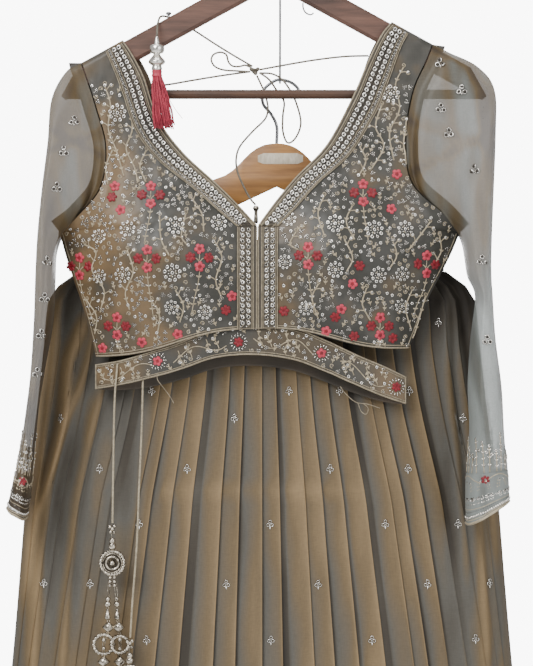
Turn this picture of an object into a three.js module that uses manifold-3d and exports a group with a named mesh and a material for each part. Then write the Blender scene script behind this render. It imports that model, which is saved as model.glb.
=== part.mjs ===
// A lehenga set on its two hangers, in millimetres.
// +X is the photographed right, the front faces -Y, and +Z is up.
// The origin is the inside top of the upper hanger's hook, where the set hangs.

import * as THREE from 'three';
import { mergeVertices } from 'three/addons/utils/BufferGeometryUtils.js';
import Module from 'manifold-3d';

const wasm = await Module();
wasm.setup();

// Driving dimensions
const SEAM_GAP = 0.3;
const ARMHOLE_GAP = 1.3;
const CHOLI_CLOTH = 1.6;
const SLEEVE_CLOTH = 1.2;
const BAND_CLOTH = 1.0;
const BELT_CLOTH = 1.8;
const SKIRT_CLOTH = 2.2;
const WAISTBAND_CLOTH = 1.5;
const NECK_BAND_WIDTH = 23.5;
const SHOULDER_BAND_WIDTH = 17;
const PLACKET_BAND_WIDTH = 20.5;
const HANGER_THICKNESS = 11;
const HANGER_EDGE = 3.5;
const WIRE_RADIUS = 1.75;
const LINK_RADIUS = 1.2;
const HOOK_RADIUS = 20;
const DORI_RADIUS = 1.1;
const ARM_TOP = -75.2;
const ARM_BOTTOM = -102.4;
const ARM_SLOPE = 0.55;
const ARM_END = 223.6;
const CROWN_RISE = 2;
const PEG = { x: -110.8, sink: 0.9 };
const STRAP_HOOK = { x: 30.5, radius: 1 };
const CROSSBAR = { radius: 5, height: -217, reach: 218 };
const LOWER_HANGER = { x: 3, y: 35, top: -266.5, bottom: -312.5, slope: 0.466, half: 170 };
// The lower hanger's straight arm: its ends' reach from the centre and drop from the crown.
const LOWER_ARM = { start: 38, startDrop: 21, end: 160, endDrop: 88.5 };
const HANGING_LOOP = { reach: 143, half: 4, cloth: 1.2, clearance: 1.9, over: 3.4 };
const CHOLI_CENTRE = -17.2;
const SHOULDER_ABOVE_ARM = 2.7;
const SHOULDER_ROLL = { radius: 8, depth: 6.75 };
const SKIRT_CENTRE = -13;
const WAIST = { half: 194, depth: 10, top: -369, bottom: -402.5, y: 35 };
const PLEATS_PER_SIDE = 26;
const TASSEL_STRANDS = 44;

// Colours
const CLOTH = { color: 0x8a7b68, roughness: 0.75, metalness: 0 };
const SHEER = { color: 0xa9a69c, roughness: 0.7, metalness: 0 };
const PLEATED = { color: 0x7b6c58, roughness: 0.7, metalness: 0 };
const TRIM = { color: 0xb9aa94, roughness: 0.5, metalness: 0.2 };
const RED_WOOD = { color: 0x8a6a5c, roughness: 0.5, metalness: 0 };
const GOLD_WOOD = { color: 0xb88a56, roughness: 0.45, metalness: 0 };
const STEEL = { color: 0xa8a8a8, roughness: 0.3, metalness: 1 };
const SILVER = { color: 0xb8b4ac, roughness: 0.3, metalness: 1 };
const CORD = { color: 0x8d8272, roughness: 0.8, metalness: 0 };
const CORAL = { color: 0xd8485c, roughness: 0.8, metalness: 0 };

// Choli, one row for each line from the neck or centre edge to the armhole or side edge.
// The first nine rows run from the shoulder to the underarm, the last five down to the hem.
const CHOLI_ROWS = {
  left: [
    { neck: [-158.8, -159.8], back: [-158.8, -159.8], side: [-201.7, -183.4] },
    { neck: [-157.5, -162.5], back: [-156.5, -162.5], side: [-201, -186.2] },
    { neck: [-149, -175], back: [-143, -177], side: [-196, -200.4] },
    { neck: [-136, -200], back: [-129, -205], side: [-186.6, -229.6] },
    { neck: [-121, -243], back: [-121.5, -245], side: [-175.5, -272.5] },
    { neck: [-96, -278], back: [-113, -290], side: [-180.7, -315.4] },
    { neck: [-60, -312], back: [-95, -330], side: [-204, -344.6] },
    { neck: [-35, -337], back: [-60, -352], side: [-222, -358.8] },
    { neck: [-17.5, -356.3], back: [-17.5, -372], side: [-225.7, -361.6] },
    { neck: [-17.5, -378], back: [-17.5, -390], side: [-219, -386] },
    { neck: [-17.5, -399], back: [-17.5, -408], side: [-211, -411] },
    { neck: [-17.5, -420], back: [-17.5, -427], side: [-202, -437] },
    { neck: [-17.5, -442], back: [-17.5, -447], side: [-194, -466] },
    { neck: [-17.5, -463.5], back: [-17.5, -466], side: [-187, -493] },
  ],
  right: [
    { neck: [124, -140.7], back: [124, -140.7], side: [166.2, -163.9] },
    { neck: [122, -143.5], back: [121.5, -143.5], side: [165.2, -167] },
    { neck: [112, -156], back: [109, -158], side: [159, -182.9] },
    { neck: [98, -184], back: [96, -187], side: [145, -215.4] },
    { neck: [82, -221], back: [88, -228], side: [137.6, -263.3] },
    { neck: [55, -271], back: [79, -275], side: [143.8, -311.1] },
    { neck: [22, -306], back: [60, -318], side: [177.3, -343.6] },
    { neck: [0, -333], back: [25, -345], side: [192.4, -359.5] },
    { neck: [-16.9, -356.3], back: [-16.9, -372], side: [195.4, -362.6] },
    { neck: [-16.9, -378], back: [-16.9, -390], side: [187, -383] },
    { neck: [-16.9, -399], back: [-16.9, -408], side: [176, -405] },
    { neck: [-16.9, -420], back: [-16.9, -427], side: [163, -430] },
    { neck: [-16.9, -442], back: [-16.9, -447], side: [152, -458] },
    { neck: [-16.9, -463.5], back: [-16.9, -466], side: [142, -484] },
  ],
};
const UNDERARM_ROW = 8;
const HEM_ROW = 13;
const CUP = { offset: 97, height: -394, depth: 24, spreadX: 55, spreadZ: 48 };

// Sleeves, one row for each ring from the armhole to the wrist.
// follow says how much of the armhole's curve is left in the ring.
const SLEEVE_ROWS = {
  left: [
    { outer: [-202.1, -183.2], inner: [-226.1, -361.8], follow: 1, half: 0, middle: 0 },
    { outer: [-218, -193], inner: [-226.5, -368], follow: 0.8, half: 16, middle: -1 },
    { outer: [-233, -222], inner: [-228, -374], follow: 0.55, half: 20, middle: -4 },
    { outer: [-237, -268], inner: [-229, -382], follow: 0.25, half: 27, middle: -8 },
    { outer: [-243, -322], inner: [-229, -396], follow: 0, half: 34, middle: -13 },
    { outer: [-247.7, -381], inner: [-229.5, -420], follow: 0, half: 38, middle: -17 },
    { outer: [-250, -455], inner: [-232, -460], follow: 0, half: 40, middle: -20 },
    { outer: [-253, -508], inner: [-241, -510], follow: 0, half: 41, middle: -22 },
    { outer: [-257, -545], inner: [-247, -548], follow: 0, half: 42, middle: -23 },
    { outer: [-263, -585], inner: [-250.5, -590], follow: 0, half: 42, middle: -24 },
    { outer: [-272, -630], inner: [-256, -640], follow: 0, half: 42, middle: -24 },
    { outer: [-276.5, -650], inner: [-260, -662], follow: 0, half: 42, middle: -24 },
  ],
  right: [
    { outer: [166.6, -163.7], inner: [195.8, -362.8], follow: 1, half: 0, middle: 0 },
    { outer: [184, -172.5], inner: [196.5, -369], follow: 0.9, half: 18, middle: 0 },
    { outer: [213, -187], inner: [198, -374], follow: 0.7, half: 20, middle: -1 },
    { outer: [231, -212], inner: [199, -381], follow: 0.45, half: 22, middle: -6 },
    { outer: [232, -262], inner: [200, -390], follow: 0.2, half: 30, middle: -11 },
    { outer: [227, -385], inner: [203, -409], follow: 0, half: 36, middle: -15 },
    { outer: [228, -432], inner: [211, -430], follow: 0, half: 38, middle: -18 },
    { outer: [231, -476], inner: [206, -474], follow: 0, half: 40, middle: -20 },
    { outer: [237, -524], inner: [203, -522], follow: 0, half: 41, middle: -22 },
    { outer: [239.5, -572], inner: [204.5, -570], follow: 0, half: 42, middle: -23 },
    { outer: [243, -620], inner: [201, -628], follow: 0, half: 41, middle: -28 },
    { outer: [243.5, -642], inner: [201.5, -668], follow: 0, half: 41, middle: -28 },
  ],
};
// How far round half a ring each of the nine armhole rows lies, from the shoulder to the underarm.
const AROUND = [0, 0.08, 0.2, 0.34, 0.5, 0.66, 0.8, 0.92, 1];

// Embroidered belt, one row for each station from its left fold to its right fold.
const BELT_ROWS = [
  { x: -188, top: -501.6, bottom: -526.7 },
  { x: -161, top: -497, bottom: -522 },
  { x: -133, top: -488.6, bottom: -515.5 },
  { x: -100, top: -478.5, bottom: -506.5 },
  { x: -62, top: -463, bottom: -493.8 },
  { x: -20, top: -458.5, bottom: -490.6 },
  { x: 23, top: -463, bottom: -496.4 },
  { x: 60, top: -478, bottom: -510.5 },
  { x: 88, top: -491.5, bottom: -523 },
  { x: 114, top: -502.5, bottom: -534 },
  { x: 139, top: -514.5, bottom: -542.4 },
];
const BELT = { centre: -23.5, half: 165, front: 18, back: 8, sag: 12, edge: 1.95 };

// Skirt, one row for each level from the waistband to the hem.
// fan says how far the middle pleats spread towards the sides.
const SKIRT_ROWS = [
  { z: -402.8, half: 195, depth: 9, y: 35, pleat: 1.2, fan: 0 },
  { z: -426, half: 225, depth: 12, y: 36, pleat: 2.5, fan: 0 },
  { z: -500, half: 234, depth: 18, y: 39, pleat: 3.5, fan: 0 },
  { z: -644, half: 251.3, depth: 30, y: 41, pleat: 5, fan: 0.2 },
  { z: -860, half: 270, depth: 52, y: 41, pleat: 7, fan: 0.38 },
  { z: -1200, half: 298, depth: 84, y: 41, pleat: 9.5, fan: 0.38 },
  { z: -1560, half: 329.6, depth: 112, y: 41, pleat: 12, fan: 0.38 },
];

// Small helpers
const clamp01 = (t) => Math.min(1, Math.max(0, t));
const mix = (a, b, t) => a + (b - a) * t;
const smoothstep = (from, to, t) => {
  const s = clamp01((t - from) / (to - from));
  return s * s * (3 - 2 * s);
};
const vec = (x, y, z) => new THREE.Vector3(x, y, z);

function signedVolume(geometry) {
  const p = geometry.getAttribute('position');
  const index = geometry.getIndex().array;
  const a = vec(0, 0, 0);
  const b = vec(0, 0, 0);
  const c = vec(0, 0, 0);
  let sum = 0;
  for (let i = 0; i < index.length; i += 3) {
    a.fromBufferAttribute(p, index[i]);
    b.fromBufferAttribute(p, index[i + 1]);
    c.fromBufferAttribute(p, index[i + 2]);
    sum += a.dot(b.cross(c)) / 6;
  }
  return sum;
}

// Keeps the positions alone, joins shared points and turns the faces outwards.
function closed(geometry) {
  let g = geometry.index ? geometry.toNonIndexed() : geometry.clone();
  g.deleteAttribute('normal');
  g.deleteAttribute('uv');
  g = mergeVertices(g, 1e-4);
  const index = Array.from(g.getIndex().array);
  const kept = [];
  for (let i = 0; i < index.length; i += 3) {
    const [a, b, c] = index.slice(i, i + 3);
    if (a !== b && b !== c && c !== a) kept.push(a, b, c);
  }
  g.setIndex(kept);
  if (signedVolume(g) < 0) {
    for (let i = 0; i < kept.length; i += 3) {
      [kept[i + 1], kept[i + 2]] = [kept[i + 2], kept[i + 1]];
    }
    g.setIndex(kept);
  }
  return g;
}

function toManifold(geometry) {
  const g = closed(geometry);
  const vertProperties = Float32Array.from(g.getAttribute('position').array);
  const triVerts = Uint32Array.from(g.getIndex().array);
  return new wasm.Manifold(new wasm.Mesh({ numProp: 3, vertProperties, triVerts }));
}

function fromManifold(manifold) {
  const mesh = manifold.getMesh();
  const g = new THREE.BufferGeometry();
  g.setAttribute('position', new THREE.Float32BufferAttribute(mesh.vertProperties, 3));
  g.setIndex(Array.from(mesh.triVerts));
  return g;
}

function union(geometries) {
  const solids = geometries.map(toManifold);
  return fromManifold(solids.reduce((all, one) => all.add(one)));
}

function normalsOf(grid, ring, towards) {
  const rows = grid.length;
  const cols = grid[0].length;
  let agreement = 0;
  const normals = grid.map((row, i) => row.map((point, j) => {
    const up = grid[Math.max(i - 1, 0)][j];
    const down = grid[Math.min(i + 1, rows - 1)][j];
    const before = ring ? row[(j + cols - 1) % cols] : row[Math.max(j - 1, 0)];
    const after = ring ? row[(j + 1) % cols] : row[Math.min(j + 1, cols - 1)];
    const normal = down.clone().sub(up).cross(after.clone().sub(before)).normalize();
    agreement += normal.dot(towards(point, i, j));
    return normal;
  }));
  if (agreement < 0) normals.forEach((row) => row.forEach((n) => n.negate()));
  return normals;
}

// Joins two faces of the same grid into one closed wall.
function wallBetween(outer, inner, ring) {
  const rows = outer.length;
  const cols = outer[0].length;
  const positions = [];
  for (const grid of [outer, inner]) {
    grid.forEach((row) => row.forEach((p) => positions.push(p.x, p.y, p.z)));
  }
  const at = (side, i, j) => side * rows * cols + i * cols + (j % cols);
  const index = [];
  const quad = (a, b, c, d) => index.push(a, b, c, a, c, d);
  const spans = ring ? cols : cols - 1;
  for (let i = 0; i < rows - 1; i += 1) {
    for (let j = 0; j < spans; j += 1) {
      quad(at(0, i, j), at(0, i + 1, j), at(0, i + 1, j + 1), at(0, i, j + 1));
      quad(at(1, i, j), at(1, i, j + 1), at(1, i + 1, j + 1), at(1, i + 1, j));
    }
  }
  for (let j = 0; j < spans; j += 1) {
    quad(at(0, 0, j), at(0, 0, j + 1), at(1, 0, j + 1), at(1, 0, j));
    const last = rows - 1;
    quad(at(0, last, j), at(1, last, j), at(1, last, j + 1), at(0, last, j + 1));
  }
  if (!ring) {
    const last = cols - 1;
    for (let i = 0; i < rows - 1; i += 1) {
      quad(at(0, i, 0), at(1, i, 0), at(1, i + 1, 0), at(0, i + 1, 0));
      quad(at(0, i, last), at(0, i + 1, last), at(1, i + 1, last), at(1, i, last));
    }
  }
  const g = new THREE.BufferGeometry();
  g.setAttribute('position', new THREE.Float32BufferAttribute(positions, 3));
  g.setIndex(index);
  return closed(g);
}

// A wall whose outer face is the grid, or lies the given lift above it.
function wall(grid, thickness, { ring = false, towards, lift = 0 }) {
  const normals = normalsOf(grid, ring, towards);
  const moved = (by) => grid.map((row, i) => row.map((p, j) => (
    p.clone().addScaledVector(normals[i][j], by))));
  return wallBetween(moved(lift), moved(lift - thickness), ring);
}

function tube(points, radius, { sides = 8, steps = 24, straight = false } = {}) {
  const path = straight
    ? new THREE.LineCurve3(points[0], points[1])
    : new THREE.CatmullRomCurve3(points, false, 'centripetal');
  const ring = [];
  for (let i = 0; i < sides; i += 1) {
    const angle = (2 * Math.PI * i) / sides;
    ring.push(new THREE.Vector2(radius * Math.cos(angle), radius * Math.sin(angle)));
  }
  const options = { steps: straight ? 1 : steps, extrudePath: path, bevelEnabled: false };
  return closed(new THREE.ExtrudeGeometry(new THREE.Shape(ring), options));
}

const set = new THREE.Group();
set.name = 'lehenga_set';

function add(name, geometry, look, group = set) {
  const mesh = new THREE.Mesh(geometry, new THREE.MeshStandardMaterial(look));
  mesh.name = name;
  group.add(mesh);
  return mesh;
}

// Hangers
function board(outline, y) {
  const shape = new THREE.Shape(outline.map(([x, z]) => new THREE.Vector2(x, z)));
  const g = new THREE.ExtrudeGeometry(shape, {
    depth: HANGER_THICKNESS - 2 * HANGER_EDGE,
    bevelEnabled: true,
    bevelThickness: HANGER_EDGE,
    bevelSize: HANGER_EDGE,
    bevelOffset: -HANGER_EDGE,
    bevelSegments: 1,
  });
  g.translate(0, 0, -(HANGER_THICKNESS / 2 - HANGER_EDGE));
  g.rotateX(Math.PI / 2);
  g.translate(0, y, 0);
  return closed(g);
}

const armTop = (x) => ARM_TOP - ARM_SLOPE * Math.abs(x);
const armBottom = (x) => ARM_BOTTOM - ARM_SLOPE * Math.abs(x);

function mirrored(half, centre = 0) {
  const right = half.map(([x, z]) => [centre + x, z]);
  const left = half.slice(1, -1).reverse().map(([x, z]) => [centre - x, z]);
  return right.concat(left);
}

function upperHangerOutline(drop = 0) {
  return mirrored([
    [0, ARM_TOP + CROWN_RISE],
    [9, ARM_TOP + CROWN_RISE / 2],
    [22, armTop(22)],
    [207, armTop(207)],
    [ARM_END, -219 - drop],
    [219, armBottom(219) - drop],
    [0, ARM_BOTTOM - 1 - drop],
  ]);
}

function lowerHangerOutline() {
  const { top, bottom, slope, half } = LOWER_HANGER;
  return mirrored([
    [0, top],
    [20, top - 4],
    [LOWER_ARM.start, top - LOWER_ARM.startDrop],
    [LOWER_ARM.end, top - LOWER_ARM.endDrop],
    [half, top - 103],
    [half - 2, bottom - slope * half],
    [0, bottom],
  ], LOWER_HANGER.x);
}

function crossbar() {
  const { radius, height, reach } = CROSSBAR;
  const bar = new THREE.CylinderGeometry(radius, radius, 2 * reach, 12);
  bar.rotateZ(Math.PI / 2);
  bar.translate(0, 0, height);
  const arms = board(upperHangerOutline(SEAM_GAP), 0);
  arms.scale(1, 1.6, 1);
  return fromManifold(toManifold(bar).subtract(toManifold(arms)));
}

function hangerHook(topOfCrown) {
  const centre = -(HOOK_RADIUS - WIRE_RADIUS);
  const points = [vec(0, 0, topOfCrown + SEAM_GAP), vec(0, 0, -52), vec(-7, 0, -42)];
  for (const degrees of [205, 180, 150, 120, 90, 60, 30, 0, -20]) {
    const angle = THREE.MathUtils.degToRad(degrees);
    points.push(vec(HOOK_RADIUS * Math.cos(angle), 0, centre + HOOK_RADIUS * Math.sin(angle)));
  }
  return tube(points, WIRE_RADIUS, { steps: 24 });
}

function lowerHook() {
  const route = [
    [3, LOWER_HANGER.top + SEAM_GAP], [3, -248], [-3, -235], [-11.5, -224], [-11, -210],
    [-1, -200.8], [7.3, -198.5], [17.8, -201.2], [25, -207], [27.2, -212.7],
  ];
  return tube(route.map(([x, z]) => vec(x, LOWER_HANGER.y, z)), WIRE_RADIUS, { steps: 26 });
}

function link() {
  const route = [
    [0, -108.2], [0, -125], [6, -150], [20, -178], [28.6, -191], [30.8, -198.3], [32.4, -201.2],
    [35, -202], [37.6, -201.2], [39.2, -198.3],
  ];
  return tube(route.map(([y, z]) => vec(6.5, y, z)), LINK_RADIUS, { sides: 6, steps: 30 });
}

// A small turned knob on the left arm's top edge.
function peg() {
  const { x, sink } = PEG;
  const profile = [[0, 5], [2.2, 4.8], [3.2, 3.4], [2.4, 2.2], [1.4, 1.6], [1.4, 0], [0, 0]];
  const g = new THREE.LatheGeometry(profile.map(([r, z]) => new THREE.Vector2(r, z)), 8);
  g.rotateX(Math.PI / 2);
  g.translate(x, 0, armTop(x) + sink);
  return closed(g);
}

// A small wire hook for straps under the right arm.
function strapHook() {
  const { x, radius } = STRAP_HOOK;
  const top = armBottom(x) - SEAM_GAP - 1.2;
  const route = [[0, 0], [0.2, -5], [2.2, -9.6], [5.6, -12], [9, -12.4], [11.2, -10.6]];
  return tube(route.map(([dx, dz]) => vec(x + dx, 0, top + dz)), radius, { sides: 6, steps: 10 });
}

function hangers() {
  add('hanger_upper', board(upperHangerOutline(), 0), RED_WOOD);
  add('hanger_crossbar', crossbar(), RED_WOOD);
  add('hanger_hook', hangerHook(ARM_TOP + CROWN_RISE), STEEL);
  add('hanger_link', link(), STEEL);
  add('hanger_peg', peg(), STEEL);
  add('hanger_strap_hook', strapHook(), STEEL);
  add('lower_hanger', board(lowerHangerOutline(), LOWER_HANGER.y), GOLD_WOOD);
  add('lower_hanger_hook', lowerHook(), STEEL);
}

// Choli
const shoulderLine = (x) => armTop(x) + SHOULDER_ABOVE_ARM;
const roundOver = (t) => Math.sqrt(1 - (1 - clamp01(t)) ** 2);

// How far the cloth stands out from the hanger's plane, before it closes at the side seam.
function fullness(x, z, face) {
  const roll = SHOULDER_ROLL.depth * roundOver((shoulderLine(x) - z) / SHOULDER_ROLL.radius);
  if (face === 'back') return roll + 3 * smoothstep(-200, -330, z);
  const drape = 12 * smoothstep(-175, -400, z);
  const across = (Math.abs(x - CHOLI_CENTRE) - CUP.offset) / CUP.spreadX;
  const down = (z - CUP.height) / CUP.spreadZ;
  return roll + drape + CUP.depth * Math.exp(-(across * across + down * down) / 2);
}

// A point of a choli panel, u from the neck or centre edge to the side edge, v in table rows.
function choliPoint(side, face, v, u) {
  const rows = CHOLI_ROWS[side];
  const i = Math.min(Math.floor(v), HEM_ROW - 1);
  const t = v - i;
  const from = face === 'back' ? 'back' : 'neck';
  const near = [0, 1].map((k) => mix(rows[i][from][k], rows[i + 1][from][k], t));
  const far = [0, 1].map((k) => mix(rows[i].side[k], rows[i + 1].side[k], t));
  const x = mix(near[0], far[0], u);
  const wave = 4 * Math.sin(2 * Math.PI * u) * smoothstep(10, HEM_ROW, v);
  const z = mix(near[1], far[1], u) + wave;
  const closing = 1 - smoothstep(5, UNDERARM_ROW, v) * u ** 5;
  const seam = 1 + 0.75 * smoothstep(0, 2, v);
  const y = seam + fullness(x, z, face) * closing;
  return vec(x, face === 'back' ? y : -y, z);
}

const outFrom = (face) => () => vec(0, face === 'back' ? 1 : -1, 0);
const steps = (count) => Array.from({ length: count + 1 }, (_, i) => i / count);

// The share of a row that the neck or placket band takes.
function bandShare(side, v) {
  const row = Math.abs(choliPoint(side, 'front', v, 1).x - choliPoint(side, 'front', v, 0).x);
  const neck = mix(SHOULDER_BAND_WIDTH, NECK_BAND_WIDTH, smoothstep(0, 3, v));
  return mix(neck, PLACKET_BAND_WIDTH, smoothstep(7, UNDERARM_ROW, v)) / row;
}

const PANEL_ROWS = [0, 1, 2, 2.5, 3, 3.5, 4, 4.5, 5, 5.5, 6, 6.5, 7, 7.5, 8, 9, 10, 11, 12, HEM_ROW];
const BACK_ROWS = [0, 1, 2, 3, 4, 5, 6, 7, 8, 9, 11, HEM_ROW];

function choliPanel(side, face) {
  const grid = (face === 'back' ? BACK_ROWS : PANEL_ROWS).map((v) => {
    const band = bandShare(side, v);
    const rest = steps(face === 'back' ? 4 : 6).slice(1).map((t) => mix(band, 1, t));
    return [0, band / 2, band, ...rest].map((u) => choliPoint(side, face, v, u));
  });
  return wall(grid, CHOLI_CLOTH, { towards: outFrom(face) });
}

// A strip on the panel along its neck or centre edge, on the panel's own points, moved out.
function bandStrip(side, rows) {
  const grid = rows.map((v) => (
    [0, 0.5, 1].map((t) => choliPoint(side, 'front', v, t * bandShare(side, v)))));
  return wall(grid, BAND_CLOTH, { towards: outFrom('front'), lift: SEAM_GAP + BAND_CLOTH });
}

function choli() {
  for (const side of ['left', 'right']) {
    add(`choli_front_${side}`, choliPanel(side, 'front'), CLOTH);
    add(`choli_back_${side}`, choliPanel(side, 'back'), CLOTH);
    const neckRows = PANEL_ROWS.filter((v) => v >= 1 && v < UNDERARM_ROW);
    add(`neck_band_${side}`, bandStrip(side, [...neckRows, UNDERARM_ROW - 0.02]), TRIM);
    const placketRows = PANEL_ROWS.filter((v) => v > UNDERARM_ROW);
    add(`placket_band_${side}`, bandStrip(side, [UNDERARM_ROW + 0.02, ...placketRows]), TRIM);
  }
}

// Sleeves
function armholeEdge(side, k) {
  const away = side === 'left' ? -1 : 1;
  const [x, z] = CHOLI_ROWS[side][k].side;
  const before = CHOLI_ROWS[side][Math.max(k - 1, 0)].side;
  const after = CHOLI_ROWS[side][Math.min(k + 1, UNDERARM_ROW)].side;
  const along = new THREE.Vector2(after[0] - before[0], after[1] - before[1]).normalize();
  const shift = ARMHOLE_GAP * away;
  return [x - shift * along.y, z + shift * along.x];
}

// A ring point: k counts the armhole rows, and the back half repeats them upwards.
function sleevePoint(side, row, k, back) {
  const { outer, inner, follow, half, middle } = row;
  const share = (1 - Math.cos(Math.PI * AROUND[k])) / 2;
  const edge = armholeEdge(side, k);
  const first = SLEEVE_ROWS[side][0];
  const [x, z] = [0, 1].map((n) => {
    const straight = mix(outer[n], inner[n], share);
    const bend = edge[n] - mix(first.outer[n], first.inner[n], share);
    return straight + follow * bend;
  });
  const full = Math.sin(Math.PI * AROUND[k]) ** 0.6;
  const swell = k === 0 || k === UNDERARM_ROW ? 0 : full;
  if (half === 0) {
    const face = back ? 'back' : 'front';
    const atPanel = choliPoint(side, face, k, 1).y;
    return vec(x, swell === 0 ? 0 : atPanel, z);
  }
  return vec(x, middle + (back ? 1 : -1) * half * swell, z);
}

function sleeveRing(side, row) {
  const front = AROUND.map((_, k) => sleevePoint(side, row, k, false));
  const back = AROUND.map((_, k) => sleevePoint(side, row, k, true)).slice(1, -1).reverse();
  return front.concat(back);
}

const ringMix = (a, b, t) => a.map((p, j) => p.clone().lerp(b[j], t));

function fromRingCentre(grid) {
  const centres = grid.map((row) => (
    row.reduce((sum, p) => sum.add(p), vec(0, 0, 0)).divideScalar(row.length)));
  return (p, i) => p.clone().sub(centres[i]).normalize();
}

function sleeves() {
  for (const side of ['left', 'right']) {
    const grid = SLEEVE_ROWS[side].map((row) => sleeveRing(side, row));
    const towards = fromRingCentre(grid);
    add(`sleeve_${side}`, wall(grid, SLEEVE_CLOTH, { ring: true, towards }), SHEER);
    const last = grid.length - 1;
    const cuff = [ringMix(grid[last - 2], grid[last - 1], 0.75), grid[last - 1], grid[last]];
    const cuffOut = fromRingCentre(cuff);
    const lifted = { ring: true, towards: cuffOut, lift: SEAM_GAP + BAND_CLOTH };
    add(`cuff_${side}`, wall(cuff, BAND_CLOTH, lifted), TRIM);
  }
}

// Belt
function beltGrid(face) {
  return [0, 0.5, 1].map((down) => BELT_ROWS.map(({ x, top, bottom }) => {
    const t = (x - BELT.centre) / BELT.half;
    const open = Math.max(0, 1 - t ** 4);
    const y = BELT.edge + (face === 'back' ? BELT.back : BELT.front) * open;
    const drop = face === 'back' ? BELT.sag * open : 0;
    return vec(x, face === 'back' ? y : -y, mix(top, bottom, down) - drop);
  }));
}

function belt() {
  for (const face of ['front', 'back']) {
    const g = wall(beltGrid(face), BELT_CLOTH, { towards: outFrom(face) });
    add(`belt_${face}`, g, CLOTH);
  }
}

// Skirt
function waistRing(z) {
  const points = [];
  const count = 32;
  for (let i = 0; i < count; i += 1) {
    const angle = (2 * Math.PI * i) / count;
    const c = Math.cos(angle);
    const s = Math.sin(angle);
    const x = SKIRT_CENTRE + WAIST.half * Math.sign(c) * Math.abs(c) ** 0.8;
    const y = WAIST.y + WAIST.depth * Math.sign(s) * Math.abs(s) ** 0.25;
    points.push(vec(x, y, z));
  }
  return points;
}

// A skirt point, u from -1 at the left side seam to 1 at the right one.
function skirtPoint(row, face, u, raise) {
  const out = face === 'back' ? 1 : -1;
  const across = u * (1 + row.fan * (1 - u * u));
  const round = Math.sqrt(Math.max(0, 1 - across ** 4));
  const edge = SKIRT_CLOTH + SEAM_GAP / 2;
  const y = row.y + out * (edge + Math.max(0, row.depth - edge) * round + raise * row.pleat);
  return vec(SKIRT_CENTRE + row.half * across, y, row.z);
}

// Knife pleats: each face slopes out to its fold and then steps straight back under the next one.
function skirtPanel(face) {
  const stations = [];
  for (let pleat = 0; pleat < PLEATS_PER_SIDE; pleat += 1) {
    const from = -1 + (2 * pleat) / PLEATS_PER_SIDE;
    stations.push([from, 0]);
    stations.push([from + (2 * 0.84) / PLEATS_PER_SIDE, 1]);
  }
  stations.push([1, 0]);
  const outer = SKIRT_ROWS.map((row) => stations.map(([u, raise]) => skirtPoint(row, face, u, raise)));
  const inwards = face === 'back' ? -SKIRT_CLOTH : SKIRT_CLOTH;
  const inner = outer.map((row) => row.map((p) => vec(p.x, p.y + inwards, p.z)));
  return wallBetween(outer, inner, false);
}

// A ribbon over the lower hanger's arm, its two ends at the waistband's top edge.
function hangingLoop(away) {
  const { y } = LOWER_HANGER;
  const { reach, half, cloth, clearance, over } = HANGING_LOOP;
  const x = LOWER_HANGER.x + away * reach;
  const along = (reach - LOWER_ARM.start) / (LOWER_ARM.end - LOWER_ARM.start);
  const armDrop = mix(LOWER_ARM.startDrop, LOWER_ARM.endDrop, along);
  const top = LOWER_HANGER.top - armDrop + over;
  const foot = WAIST.top + SEAM_GAP;
  const legs = [[-1, foot], [-1, top - 3], [-0.6, top], [0.6, top], [1, top - 3], [1, foot]];
  const depth = HANGER_THICKNESS / 2 + clearance + cloth;
  const grid = [-half, half].map((side) => legs.map(([s, z]) => vec(x + side, y + s * depth, z)));
  const towards = (p) => vec(0, p.y - y, p.z - (foot + 10)).normalize();
  return wall(grid, cloth, { towards });
}

function skirt() {
  const ring = [waistRing(WAIST.top), waistRing(WAIST.bottom)];
  const towards = (p) => vec(p.x - SKIRT_CENTRE, p.y - WAIST.y, 0).normalize();
  add('skirt_waistband', wall(ring, WAISTBAND_CLOTH, { ring: true, towards }), PLEATED);
  add('skirt_front', skirtPanel('front'), PLEATED);
  add('skirt_back', skirtPanel('back'), PLEATED);
  add('hanging_loop_left', hangingLoop(-1), TRIM);
  add('hanging_loop_right', hangingLoop(1), TRIM);
}

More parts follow.
